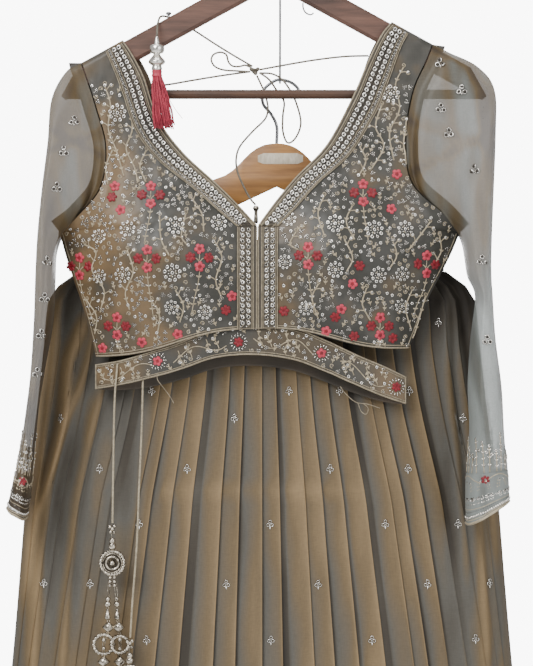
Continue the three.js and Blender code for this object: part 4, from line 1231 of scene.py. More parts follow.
def sleeve_grid(side, first, last, rows, cols):
    t, around = np.meshgrid(np.linspace(first, last, rows), np.arange(cols) / cols, indexing="ij")
    s, back = sleeve_ring(around)
    return sleeve_point(side, t, s, back)


def outward(points):
    """Ring normals that point away from each ring's middle."""
    n = grid_normals(points, ring=True)
    away = points - points.mean(axis=1, keepdims=True)
    return n if (n * away).sum() > 0 else -n


def ring_order(points):
    """The order of a ring's points that turns its faces outwards."""
    n = grid_normals(points, ring=True)
    away = points - points.mean(axis=1, keepdims=True)
    return points if (n * away).sum() < 0 else points[:, ::-1]


SLEEVE_END = 11
CUFF_START = 9.75
CUFF_LIFT = 0.9
SLEEVE_GRID = (120, 96)
CUFF_GRID = (24, 110)


def sleeve_tone(side, points):
    """Tan, about 0.3, the cloth's own colour on the left sleeve and painted shade in folds and
    creases; pale grey, 1, a painted sheen down the right one.
    """
    x, z = points[..., 0], points[..., 2]
    rows = np.array(SLEEVE_ROWS[side], float)
    rim = np.abs(x - np.interp(-z, -rows[:, 1], rows[:, 0]))
    # Lengthwise streaks of painted sheen and shade, as over folds.
    streaks = 0.26 * noise(x * 2.2 + z * 0.3, z * 0.3, 24, 3) + 0.12 * noise(x * 3, z * 0.5, 20, 4)
    # Painted shade darkens a strip inside the outer edge. The left sleeve grows darker lower down; the
    # right one takes its painted sheen lower down.
    if side == "left":
        base = 0.42 - 0.2 * smoothstep(-260, -400, z) - 0.2 * bump(rim, 14, 7)
    else:
        low = smoothstep(-350, -480, z)
        base = 0.5 + 0.45 * low - 0.35 * bump(rim, 12, 7) * (1 - low)
    # Painted shade along two creases.
    crease = bump(z + 0.35 * np.abs(x), -195, 5) + bump(z - 0.5 * np.abs(x), -372, 5)
    return np.clip(base + streaks - 0.25 * crease, 0, 1)


def add_sleeves():
    for side in ("left", "right"):
        points = ring_order(sleeve_grid(side, 0, SLEEVE_END, *SLEEVE_GRID))
        obj = grid_piece(f"sleeve_{side}_cloth", points, ORGANZA,
                         ring=True, tone=sleeve_tone(side, points))
        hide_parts(f"sleeve_{side}")
        cuff = sleeve_grid(side, CUFF_START, SLEEVE_END, *CUFF_GRID)
        cuff = ring_order(cuff + outward(cuff) * CUFF_LIFT)
        obj = grid_piece(f"cuff_{side}_cloth", cuff, ORGANZA, ring=True,
                         tone=sleeve_tone(side, cuff))
        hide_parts(f"cuff_{side}")


add_sleeves()


# Embroidery

# Forms are made in their own right, up and out directions, in millimetres.
# A mound's rings, as share of its outline and share of its height.
MOUND_RINGS = [(1.0, 0.0), (0.62, 0.75), (0.25, 1.0)]


def mound(outline, height):
    """A low closed mound over an outline, for a satin-stitched leaf or petal."""
    outline = np.asarray(outline, float)
    count = len(outline)
    middle = outline.mean(axis=0)
    rows = [np.c_[middle + (outline - middle) * r, np.full(count, height * t)]
            for r, t in MOUND_RINGS]
    faces = grid_faces(len(rows), count, ring=True).tolist()
    faces.append([(len(rows) - 1) * count + j for j in range(count)])
    faces.append([count - 1 - j for j in range(count)])
    return np.concatenate(rows), faces


def leaf_form():
    """A teardrop one unit long that starts at the stem."""
    t = np.linspace(0, 2 * np.pi, 8, endpoint=False)
    outline = np.stack([0.24 * np.sin(t) * (1 + 0.35 * np.cos(t)), 0.5 - 0.5 * np.cos(t)], -1)
    return mound(outline, 0.22)


def flower_form(petals):
    """Satin-stitched petals round a dip, one unit in radius."""
    angle = np.linspace(0, 2 * np.pi, petals * 8, endpoint=False)
    lobe = np.abs(np.cos(petals * angle / 2)) ** 0.55
    edge = 0.62 + 0.38 * lobe
    stitch = 0.03 * np.cos(petals * 4 * angle)
    rows = []
    for share, height in ((1.0, 0.0), (1.0, 0.10), (0.82, 0.24), (0.5, 0.26), (0.2, 0.14)):
        r = share * edge
        lift = height * (0.6 + 0.4 * lobe) + (stitch if 0.1 < height else 0)
        rows.append(np.stack([r * np.cos(angle), r * np.sin(angle), lift], -1))
    count = len(angle)
    faces = grid_faces(len(rows), count, ring=True).tolist()
    verts = np.concatenate([*rows, [[0, 0, 0.12]]])
    last = (len(rows) - 1) * count
    faces += [[last + j, last + (j + 1) % count, len(verts) - 1] for j in range(count)]
    return verts, faces


def raised(form, height):
    return form[0] + np.array([0, 0, height]), form[1]


FORMS = {
    "ring": (turned([(0.55, 0.1), (0.75, 0.42), (1, 0.1)], 9), "sequins"),
    "disc": (turned([(0.2, 0.12), (0.55, 0.34), (1, 0.4), (0.97, 0.1)], 9), "sequins"),
    # A dark dot in a sequin's hole, painted shadow.
    "hole_shadow": (turned([(0.02, 0.1), (0.36, 0.3), (0.28, 0.62), (0.02, 0.66)], 5), "shade"),
    "bead": (turned([(0.02, 0.0), (1, 0.35), (0.85, 1.0), (0.02, 1.3)], 7), "sequins"),
    "leaf": (leaf_form(), "threads"),
    "glint": (leaf_form(), "sequins"),
    "coral": (flower_form(5), "coral"),
    "red": (flower_form(6), "red"),
    "heart": (raised(flower_form(5), 0.36), "red"),
}
STITCHES = {
    "sequins": (SEQUIN, "silver_beads"),
    "threads": (VINE, "trim"),
    "coral": (CORAL, "coral_thread"),
    "red": (RED, "coral_thread"),
    "shade": (SHADE, "trim"),
}
TILT = 0.1
CURL_TURNS = 1.25


class Design:
    """Embroidery drawn flat, to be laid on a surface that takes the drawing's two directions."""

    def __init__(self, seed):
        self.rng = np.random.default_rng(seed)
        self.spots = {name: [] for name in FORMS}
        self.lines = []
        self.taken = []

    def spot(self, form, x, y, size, angle=0.0):
        self.spots[form].append((x, y, size, angle))
        if form == "coral":
            self.spots["heart"].append((x, y, size * 0.42, angle))
        # Each disc and ring gets a dark dot of painted shadow in its hole.
        if form in ("disc", "ring"):
            self.spots["hole_shadow"].append((x, y, size * (1.0 if form == "disc" else 1.5), 0.0))

    def line(self, points, radius=0.42, step=1.6):
        points = resample(points, step)
        self.lines.append((points, radius))
        return points

    def keep(self, x, y, room):
        self.taken.append((x, y, room))

    def free(self, x, y, room):
        if not self.taken:
            return True
        taken = np.array(self.taken)
        away = (taken[:, 0] - x) ** 2 + (taken[:, 1] - y) ** 2
        return bool((away > (taken[:, 2] + room) ** 2).all())

    def curl(self, x, y, size, angle):
        t = np.linspace(0, 1, 9)
        a = angle + np.sign(size) * CURL_TURNS * 2 * np.pi * t
        r = abs(size) * (1 - 0.75 * t)
        self.line(np.stack([x + r * np.cos(a), y + r * np.sin(a)], -1), 0.44, 1.3)

    def trefoil(self, x, y, size, angle=np.pi / 2):
        """Three small rings that touch."""
        for turn in (0, 2.1, -2.1):
            a = angle + turn
            self.spot("ring", x + size * math.cos(a), y + size * math.sin(a), size * 0.86)

    def twig(self, x, y, length, angle, bend=0.4, leaves=3, tip="ring", leaf=3.2, form="leaf"):
        """A bent stem with paired leaves and a ring or disc at its tip."""
        t = np.linspace(0, 1, 5)
        a = angle + bend * (t - 0.3)
        steps = np.stack([np.cos(a), np.sin(a)], -1) * length / 4
        points = np.array([x, y]) + np.cumsum(steps, 0) - steps[0]
        path = self.line(points, 0.52)
        for k in range(leaves):
            share = (k + 1) / (leaves + 0.6)
            p = path[int(share * (len(path) - 1))]
            a = angle + bend * (share - 0.3)
            for side in (0.75, -0.75):
                self.spot(form, p[0], p[1], leaf, a + side)
        if tip:
            end = path[-1]
            self.spot(tip, end[0], end[1], 1.5)
        return path

    def spray(self, x, y, drop, lean):
        """Four flowers in a diamond on a forked stem, as in the photograph."""
        spread = 9.4
        flowers = [("coral", 0, spread * 0.98), ("red", -spread, 0.3), ("red", spread, 0),
                   ("coral", 0, -spread * 0.98)]
        for colour, dx, dy in flowers:
            self.spot(colour, x + dx, y + dy, 5.7, self.rng.uniform(0, 6))
            self.keep(x + dx, y + dy, 6)
        self.line([(x, y + 4), (x, y), (x - 0.6, y - 3)], 0.5)
        self.line([(x - 4, y - 0.5), (x - 1.5, y - 2.5), (x - 0.4, y - 5)], 0.5)
        self.line([(x + 4, y - 0.5), (x + 1.5, y - 2.5), (x + 0.2, y - 5)], 0.5)
        stem = self.line([(x, y - 14), (x + lean * 0.2, y - 14 - drop * 0.3),
                          (x + lean * 0.7, y - 14 - drop * 0.7), (x + lean, y - 14 - drop)], 0.5)
        for k in range(1, 6):
            p = stem[int(k / 6 * (len(stem) - 1))]
            for side in (1, -1):
                a = np.pi / 2 + side * (0.9 + 0.1 * k)
                self.spot("leaf" if k % 2 else "glint", p[0], p[1], 3.6, a)
            self.keep(*p, 2.4)
        self.curl(stem[-1][0] + 2, stem[-1][1], 2.6, np.pi)

    def rosette(self, x, y, size):
        """A burst of stitches round a large sequin, ringed with small ones."""
        self.spot("disc", x, y, size * 0.2)
        petals = 9
        for k in range(petals):
            a = 2 * np.pi * k / petals + 0.2
            r = size * 0.78
            self.spot("disc", x + r * math.cos(a), y + r * math.sin(a), size * 0.2)
            b = a + np.pi / petals
            self.spot("glint", x + r * 0.36 * math.cos(b), y + r * 0.36 * math.sin(b),
                      size * 0.27, b)
            if k % 3 == 0:
                self.spot("leaf", x + r * 0.3 * math.cos(a), y + r * 0.3 * math.sin(a),
                          size * 0.25, a)
        self.keep(x, y, size)

    def sunburst(self, x, y, colour, size=5.2):
        self.spot(colour, x, y, size, self.rng.uniform(0, 6))
        for k in range(16):
            a = 2 * np.pi * (k + 0.3) / 16
            r = size * (1.22 if k % 2 else 1.5)
            stitch_size = size * (0.62 if k % 2 else 0.42)
            self.spot("glint", x + r * math.cos(a), y + r * math.sin(a), stitch_size, a)
            if k % 2 == 0:
                self.spot("bead", x + r * 0.86 * math.cos(a), y + r * 0.86 * math.sin(a), 0.75)
        self.keep(x, y, size * 2)

    def fill(self, box, inside, room, tries, kinds):
        """Scatters small motifs over what is still free."""
        for _ in range(tries):
            x = self.rng.uniform(*box[0])
            y = self.rng.uniform(*box[1])
            turn = self.rng.uniform(-1, 1)
            pick = self.rng.random()
            if not self.free(x, y, room) or not inside(x, y):
                continue
            self.keep(x, y, room * 0.9)
            if pick < kinds[0]:
                self.trefoil(x, y, 1.45, np.pi / 2 + turn)
            elif pick < kinds[1]:
                self.curl(x, y, 2.5 * np.sign(turn), np.pi * turn)
                self.spot("ring", x, y, 1.0)
            elif pick < kinds[2]:
                self.twig(x, y - 3, 7, np.pi / 2 + 0.6 * turn, turn, 2)
            else:
                self.spot("disc", x, y, 1.75)


def surface_frames(surface, spots, lift):
    """Where the drawing's spots lie on the surface, with their right, up and out directions."""
    x, y, _, angle = np.array(spots, float).T
    step = 0.4
    place = surface(x, y)
    across = surface(x + step, y) - surface(x - step, y)
    along = surface(x, y + step) - surface(x, y - step)
    out = unit(np.cross(across, along))
    across = unit(across)
    along = np.cross(out, across)
    c, s = np.cos(angle - np.pi / 2)[:, None], np.sin(angle - np.pi / 2)[:, None]
    return place + lift * out, across * c + along * s, along * c - across * s, out


def tilted(frames, rng):
    """Loose sequins lean a little, each its own way."""
    place, right, up, out = frames
    lean = rng.normal(0, TILT, (len(place), 2))
    out = unit(out + lean[:, :1] * right + lean[:, 1:] * up)
    right = unit(np.cross(up, out))
    return place + 0.2 * out, right, np.cross(out, right), out


STITCH_LIFT = 0.15


def stitch(design, surface, name):
    """Lays a design on a surface: one piece for each kind of thread or bead."""
    heaps = {}
    for form, spots in design.spots.items():
        if spots:
            shape, kind = FORMS[form]
            frames = surface_frames(surface, spots, STITCH_LIFT)
            if kind == "sequins":
                frames = tilted(frames, design.rng)
            heaps.setdefault(kind, Heap()).stamp(shape, frames, np.array(spots)[:, 2])
    for points, radius in design.lines:
        spots = np.c_[points, np.ones(len(points)), np.full(len(points), np.pi / 2)]
        place, _, _, out = surface_frames(surface, spots, STITCH_LIFT + radius * 0.3)
        heaps.setdefault("threads", Heap()).add(*strand(place, out, radius))
    for kind, heap in heaps.items():
        material, slot = STITCHES[kind]
        heap.piece(f"{name}_{kind}", material, slot)


# Choli trim and embroidery
NECK_ROW = 1
PLACKET_ROW = 8
TRIM_LIFT = 1.3
BAND_WALL = 0.8
# The trim band's width at a row of the choli's tables.
BAND_WIDTHS = [
    (0, 17), (1, 18.5), (2, 21), (3, 23.5), (4, 23.5), (5, 23.5), (6, 23.5), (7, 23.5), (8, 20.5),
    (13, 20.5),
]


def band_u(side, v, share):
    """The place across the panel of a share of its trim band's width."""
    rows = CHOLI_ROWS[side]
    span = np.abs(spline(rows["neck"], v, (UNDERARM_ROW,))[..., 0]
                  - spline(rows["side"], v, (UNDERARM_ROW,))[..., 0])
    widths = np.array(BAND_WIDTHS, float)
    return share * np.interp(v, widths[:, 0], widths[:, 1]) / span


def band_surface(side, lift):
    """The trim band's surface, by table row and by share of its width."""
    def place(v, share):
        v = np.asarray(v, float)
        at = choli_point(side, "front", v, band_u(side, v, np.asarray(share, float)))
        at[..., 1] -= lift
        return at
    return place


def even_rows(surface, first, last, share, pitch):
    """Table rows from first to last that lie evenly along a band's line."""
    v = np.linspace(first, last, 600)
    points = surface(v, np.full(600, share))
    far = distance_along(points)
    count = int(far[-1] / pitch)
    return np.interp((np.arange(count) + 0.5) * pitch, far, v)


def band_line(heap, surface, first, last, share, radius, wave=0.0):
    v = np.linspace(first, last, 170)
    points = surface(v, np.full(170, share) + wave * np.sin(np.arange(170) * 1.9))
    heap.add(*strand(points, to_front(170), radius))


# The neck band's rows of sequins, as share of its width, form, size and pitch.
NECK_LADDER = [(0.36, "disc", 2.4, 5.9), (0.61, "disc", 2.4, 5.9), (0.85, "ring", 1.35, 3.4)]


def add_bands():
    stretches = {"neck": (NECK_ROW, PLACKET_ROW - 0.02), "placket": (PLACKET_ROW + 0.02, HEM_ROW)}
    for side in ("left", "right"):
        turn = 1 if side == "left" else -1
        base = band_surface(side, TRIM_LIFT)
        over = band_surface(side, TRIM_LIFT + 0.25)
        for part, (first, last) in stretches.items():
            v, q = np.meshgrid(np.linspace(first, last, 110), np.linspace(0.015, 1, 12),
                               indexing="ij")
            points = quad_out(base(v, q), -1)
            tone = np.clip(0.5 + 0.5 * noise(points[..., 0], points[..., 2], 18, 4), 0, 1)
            obj = grid_piece(f"{part}_band_{side}_cloth", points, BAND_CLOTH,
                             thickness=BAND_WALL, tone=tone)
            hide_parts(f"{part}_band_{side}")
        lines = Heap()
        neck, placket = stretches["neck"], stretches["placket"]
        for share, radius in ((0.03, 0.95), (0.15, 0.7), (0.93, 0.6), (1.0, 0.5)):
            band_line(lines, over, *neck, share, radius)
        band_line(lines, over, *neck, 0.76, 0.45, 0.012)
        band_line(lines, over, *neck, 0.22, 0.35)
        for share, radius in ((0.03, 0.75), (0.2, 0.6), (0.27, 0.4), (0.92, 0.45), (1.0, 0.55)):
            band_line(lines, over, *placket, share, radius)
        sparks = Heap()
        cells = Heap()
        for share, form, size, pitch in NECK_LADDER:
            spots = [(v, share, size) for v in even_rows(over, *neck, share, pitch)]
            stamp_band(sparks, form, over, spots)
            # A dark dot of painted shadow in each sequin's hole.
            stamp_band(cells, "hole_shadow", over, spots)
        # Dark rungs and lines, in the same dark thread, part the neck band into cells.
        rungs = even_rows(over, *neck, 0.48, 2.95)[::2]
        for v in rungs:
            q = np.linspace(0.24, 0.74, 6)
            cells.add(*strand(over(np.full(6, v), q), to_front(6), 0.36))
        for share in (0.24, 0.485, 0.735):
            band_line(cells, over, *neck, share, 0.34)
        rows = even_rows(over, *placket, 0.5, 6.1)
        for k, v in enumerate(rows):
            for share in (0.44, 0.74):
                form = "disc" if (k + (share > 0.5)) % 3 else "ring"
                stamp_band(sparks, form, over, [(v, share, 2.1)])
                # A dark dot of painted shadow in the sequin's hole.
                stamp_band(cells, "hole_shadow", over, [(v, share, 2.4)])
                q = np.linspace(share - 0.12, share + 0.12, 5)
                step = np.linspace(-0.11, 0.11, 5) + 0.14
                lines.add(*strand(over(v + step * turn, q), to_front(5), 0.42))
                stamp_band(sparks, "bead", over, [(v + 0.17, share + 0.1, 0.8)])
        lines.piece(f"band_lines_{side}", PIPING, "trim")
        sparks.piece(f"band_sequins_{side}", SEQUIN, "silver_beads")
        cells.piece(f"band_cells_{side}", SHADE, "trim")


def stamp_band(heap, form, surface, spots):
    """Stamps forms that lie flat to the front on a trim band."""
    shape = FORMS[form][0]
    v, share, size = np.array(spots, float).T
    place = surface(v, share)
    count = len(place)
    right = np.tile([1.0, 0, 0], (count, 1))
    up = np.tile([0, 0, 1.0], (count, 1))
    frames = place, right, up, to_front(count)
    heap.stamp(shape, frames if form == "hole_shadow" else tilted(frames, BAND_RNG), size)


BAND_RNG = np.random.default_rng(SEED + 60)
add_bands()


class PanelFinder:
    """Finds the panel coordinates of a front panel for places given as x and z."""

    def __init__(self, side):
        self.side = side
        v, u = np.meshgrid(np.linspace(0, HEM_ROW, 240), np.linspace(0, 1, 160), indexing="ij")
        self.start = np.stack([v.ravel(), u.ravel()], -1)
        points = choli_point(side, "front", v, u).reshape(-1, 3)
        self.tree = mathutils.kdtree.KDTree(len(points))
        for k, point in enumerate(points):
            self.tree.insert((point[0], 0, point[2]), k)
        self.tree.balance()

    def near(self, x, z):
        """How far the nearest panel sample is, and its row and place across."""
        _, index, miss = self.tree.find((x, 0, z))
        return miss, *self.start[index]

    def find(self, x, z):
        x, z = np.broadcast_arrays(np.asarray(x, float), np.asarray(z, float))
        flat = np.stack([x.ravel(), z.ravel()], -1)
        nearest = [self.tree.find((a, 0, b))[1] for a, b in flat]
        v, u = self.start[nearest].T
        step = 1e-3
        for _ in range(3):
            here = choli_point(self.side, "front", v, u)[:, [0, 2]]
            by_v = (choli_point(self.side, "front", v + step, u)[:, [0, 2]] - here) / step
            by_u = (choli_point(self.side, "front", v, u + step)[:, [0, 2]] - here) / step
            miss = flat - here
            det = by_v[:, 0] * by_u[:, 1] - by_v[:, 1] * by_u[:, 0]
            det = np.where(np.abs(det) < 1e-6, 1e-6, det)
            dv = (miss[:, 0] * by_u[:, 1] - miss[:, 1] * by_u[:, 0]) / det
            du = (by_v[:, 0] * miss[:, 1] - by_v[:, 1] * miss[:, 0]) / det
            v = np.clip(v + np.clip(dv, -0.3, 0.3), 0, HEM_ROW - 0.02)
            u = np.clip(u + np.clip(du, -0.05, 0.05), 0.002, 0.998)
        return v.reshape(x.shape), u.reshape(x.shape)

    def surface(self, x, z):
        return choli_point(self.side, "front", *self.find(x, z))


# Places of the motifs in pixels of the photograph's frame. The flowers and most of the large
# rosettes stand where the photograph has them, and the vines have a layout of their own.
SPRAYS = {
    "left": [(200, 258, 42, -8), (148, 259, 46, 6), (79, 266, 44, 14), (117, 326, 12, 3),
             (151, 195, 36, -6)],
    "right": [(308, 256, 44, 6), (427, 264, 40, -14), (363, 193, 38, 5), (380, 326, 10, -3)],
}
SINGLES = {
    "left": [("coral", 115, 186), ("red", 112, 197), ("coral", 121, 210), ("coral", 142, 342),
             ("coral", 102, 348), ("coral", 232, 296), ("coral", 178, 334), ("red", 226, 310)],
    "right": [("coral", 397, 174), ("coral", 391, 209), ("coral", 352, 284), ("coral", 341, 309),
              ("coral", 326, 331), ("red", 359, 266), ("red", 335, 317), ("red", 284, 311),
              ("red", 354, 336), ("red", 393, 338)],
}
ROSETTES = {
    "left": [(117, 112, 10), (176, 226, 10), (219, 223, 9), (128, 229, 9), (99, 236, 8),
             (99, 276, 8), (123, 275, 9), (173, 273, 10), (172, 307, 8), (205, 312, 8)],
    "right": [(391, 93, 10), (335, 224, 10), (374, 230, 10), (405, 229, 9), (335, 270, 9),
              (378, 275, 9), (402, 274, 8), (289, 219, 8), (285, 262, 8), (402, 306, 8),
              (306, 308, 8)],
}
VINES = {
    "left": [
        [(104, 84), (110, 104), (108, 128), (116, 150), (124, 176)],
        [(128, 104), (132, 128), (126, 148), (134, 166), (138, 182)],
        [(146, 150), (140, 166), (146, 182)], [(112, 150), (106, 166), (108, 184)],
        [(84, 244), (96, 252), (92, 270), (104, 290), (100, 312)],
        [(128, 250), (134, 272), (126, 292), (130, 310)], [(160, 216), (162, 240), (170, 256)],
        [(186, 214), (182, 236), (188, 246)], [(214, 240), (222, 258), (216, 280), (222, 298)],
        [(176, 290), (184, 306), (180, 322)], [(152, 300), (160, 316), (158, 332)],
        [(86, 300), (96, 316), (94, 334)], [(190, 196), (202, 214), (204, 232)],
    ],
    "right": [
        [(404, 66), (396, 84), (400, 108), (390, 132), (394, 160)],
        [(382, 104), (376, 126), (384, 146), (372, 168)], [(408, 120), (404, 144), (410, 166)],
        [(360, 146), (366, 160), (360, 174)], [(430, 222), (418, 238), (408, 250)],
        [(440, 236), (442, 250), (436, 262)], [(344, 240), (352, 258), (346, 272)],
        [(392, 240), (396, 256), (388, 270)], [(296, 232), (290, 244), (298, 250)],
        [(318, 284), (312, 298), (318, 318)], [(366, 288), (362, 304), (370, 320)],
        [(412, 290), (406, 308), (412, 330)], [(324, 196), (318, 214), (324, 236)],
        [(352, 206), (346, 222), (354, 240)], [(426, 296), (420, 318), (414, 338)],
    ],
}
PLAIN_TOP = px(0, 84)[1]


def dress_vine(design, points):
    """A long vine with leaves, forks that end in rings, and a curl."""
    path = design.line([px(*p) for p in points], 0.8)
    for k in range(4, len(path) - 2, 6):
        ahead = path[min(k + 1, len(path) - 1)] - path[k - 1]
        a = math.atan2(-ahead[1], -ahead[0])
        side = 1 if (k // 5) % 2 else -1
        if k % 12 == 4:
            tip = design.twig(*path[k], 8, a + 0.8 * side, 0.7 * side, 0, "disc")
            design.curl(tip[-1][0], tip[-1][1], 2.5 * side, a + 1.5 * side)
            design.spot("glint", *path[k], 3.4, a - 0.8 * side)
            design.keep(*tip[-1], 3)
        else:
            design.spot("leaf", *path[k], 3.8, a + 0.8 * side)
            design.spot("leaf", *path[k], 3.4, a - 0.8 * side)
        design.keep(*path[k], 2.2)
    design.curl(path[0][0], path[0][1] + 2, 2.4, -np.pi / 2)


def add_choli_embroidery():
    for side in ("left", "right"):
        finder = PanelFinder(side)
        design = Design(SEED + (11 if side == "left" else 12))
        for x, y, drop, lean in SPRAYS[side]:
            design.spray(*px(x, y), drop, lean)
        for colour, x, y in SINGLES[side]:
            place = px(x, y)
            design.spot(colour, *place, 5.6, design.rng.uniform(0, 6))
            design.keep(*place, 6.5)
        for x, y, size in ROSETTES[side]:
            design.rosette(*px(x, y), size)
        for points in VINES[side]:
            dress_vine(design, points)
        rows = CHOLI_ROWS[side]
        low = min(p[0] for p in rows["side"] + rows["neck"])
        high = max(p[0] for p in rows["side"] + rows["neck"])

        def inside(x, z):
            miss, v, u = finder.near(x, z)
            clear = band_u(side, v, 1.0) + 0.02 < u < 0.975
            return bool(z < PLAIN_TOP and miss < 1.5 and clear and v < HEM_ROW - 0.15)

        design.fill(((low, high), (-500, PLAIN_TOP)), inside, 2.75, 6500, (0.46, 0.7, 0.86))
        stitch(design, finder.surface, f"choli_{side}")
        add_choli_edges(side)


def add_choli_edges(side):
    """Piping along the hem, and a line of piping thread down the side edge."""
    heap = Heap()
    u = np.linspace(0.0, 1, 160)
    for v, radius in ((HEM_ROW - 0.03, 1.0), (HEM_ROW - 0.13, 0.55)):
        points = choli_point(side, "front", np.full(160, v), u)
        points[:, 1] -= 0.5
        heap.add(*strand(points, to_front(160), radius))
    v = np.linspace(UNDERARM_ROW + 0.05, HEM_ROW - 0.05, 80)
    points = choli_point(side, "front", v, np.full(80, 0.985))
    points[:, 1] -= 0.3
    heap.add(*strand(points, to_front(80), 0.5))
    heap.piece(f"choli_{side}_piping", PIPING, "trim")


add_choli_embroidery()


# Belt embroidery
BELT_FLOWERS = [
    ("coral", 157.5, 361), ("red", 238.5, 342), ("coral", 321.5, 353), ("red", 397, 387),
]
BELT_TWIGS = [(104, 1), (120, -1), (134, 1), (178, -1), (192, 1), (206, -1), (219, 1), (258, -1),
              (272, 1), (286, -1), (300, 1), (342, -1), (354, 1), (366, -1), (378, 1)]
LOOSE_THREADS = [
    [(157, 374), (158, 380), (164, 388), (170, 396), (174, 403)],
    [(340, 386), (346, 394), (356, 402), (368, 404), (380, 408)],
    [(358, 403), (361, 411), (366, 414), (368, 408), (363, 403)],
]


def belt_surface(lift):
    def place(x, z):
        x = np.asarray(x, float)
        top = by_column(BELT_ROWS, 1, 0, x)
        bottom = by_column(BELT_ROWS, 2, 0, x)
        return belt_point("front", x, (top - z) / (top - bottom), lift)
    return place


def belt_middle(x, down=0.5):
    top = by_column(BELT_ROWS, 1, 0, np.array([x]))[0]
    bottom = by_column(BELT_ROWS, 2, 0, np.array([x]))[0]
    return top * (1 - down) + bottom * down


def add_belt_embroidery():
    design = Design(SEED + 20)
    for colour, x, y in BELT_FLOWERS:
        design.sunburst(*px(x, y), colour)
    wave = []
    for k, x in enumerate(np.linspace(-182, 132, 46)):
        wave.append((x, belt_middle(x, 0.56 + 0.2 * math.sin(k * 0.8))))
    for first, last in ((0, 9), (11, 20), (23, 33), (36, 44)):
        design.line(wave[first:last], 0.5)
    for x, turn in BELT_TWIGS:
        place = px(x, 0)[0]
        start = belt_middle(place, 0.5 + 0.22 * turn)
        design.twig(place, start, 13, np.pi / 2 * turn + 0.35, 0.6 * turn, 2, "disc", 4.2)
        end = belt_middle(place + 3, 0.5 - 0.25 * turn)
        design.spot("bead", place + 4, end, 1.0)
        design.keep(place, belt_middle(place), 5)
    design.fill(((-184, 135), (-540, -458)), lambda x, z: -184 < x < 135
                and belt_middle(x, 0.88) < z < belt_middle(x, 0.12), 2.6, 1500, (0.3, 0.5, 0.75))
    stitch(design, belt_surface(0), "belt")
    lines = Heap()
    x = np.linspace(*BELT_ENDS, 220)
    out = to_front(220)
    for down, radius in ((0.015, 1.0), (0.09, 0.5), (0.91, 0.5), (0.985, 1.0)):
        lines.add(*strand(belt_point("front", x, down, 0.45), out, radius))
    for x_end in (-187.2, 138.2):
        down = np.linspace(0, 1, 24)
        points = belt_point("front", np.full(24, x_end), down, 0.45)
        lines.add(*strand(points, to_front(24), 0.8))
    lines.piece("belt_piping", PIPING, "trim")
    threads = Heap()
    for route in LOOSE_THREADS:
        flat = resample([px(*p) for p in route], 1.5)
        y = np.full(len(flat), -24.5)
        points = np.stack([flat[:, 0], y, flat[:, 1]], -1)
        threads.add(*strand(points, to_front(len(flat)), 0.4))
    threads.piece("belt_loose_threads", PIPING, "trim")


add_belt_embroidery()


# Sleeve trefoils, cuffs and seam allowances
SLEEVE_TREFOILS = {
    "left": [(74, 121), (64, 152), (58, 188), (44, 334), (49, 262), (47, 298), (40, 372)],
    "right": [(441, 62), (441, 108), (449, 133), (474, 170), (480, 261), (484, 340), (462, 90)],
}


def sleeve_place(side):
    """A surface of the sleeve's front and back, by place round and by row."""
    def place(around, t):
        around = np.mod(np.asarray(around, float), 1.0)
        s, back = sleeve_ring(around)
        return sleeve_point(side, np.asarray(t, float), s, back)
    return place


def ring_girth(side, t):
    around = np.linspace(0, 1, 200)
    points = sleeve_place(side)(around, np.full(200, t))
    return length_of(points)


def sleeve_surface(side):
    """The sleeve by millimetres round from its front middle and millimetres up from its wrist."""
    girth = ring_girth(side, 10)
    place = sleeve_place(side)
    rows = np.linspace(0, SLEEVE_END, 300)
    middle = place(np.full(300, 0.25), rows)
    far = distance_along(middle)
    turn = 1 if side == "left" else -1

    def surface(a, b):
        t = np.interp(far[-1] - np.asarray(b, float), far, rows)
        return place(0.25 + turn * np.asarray(a, float) / girth, t)
    return surface, girth


# The cuff's lines of thread, as height over the wrist, radius and depth of their wave.
CUFF_LINES = [(0.9, 1.5, 0.3), (3.6, 0.9, 0.3), (12.0, 0.8, 0.3), (38, 0.9, 3.2)]


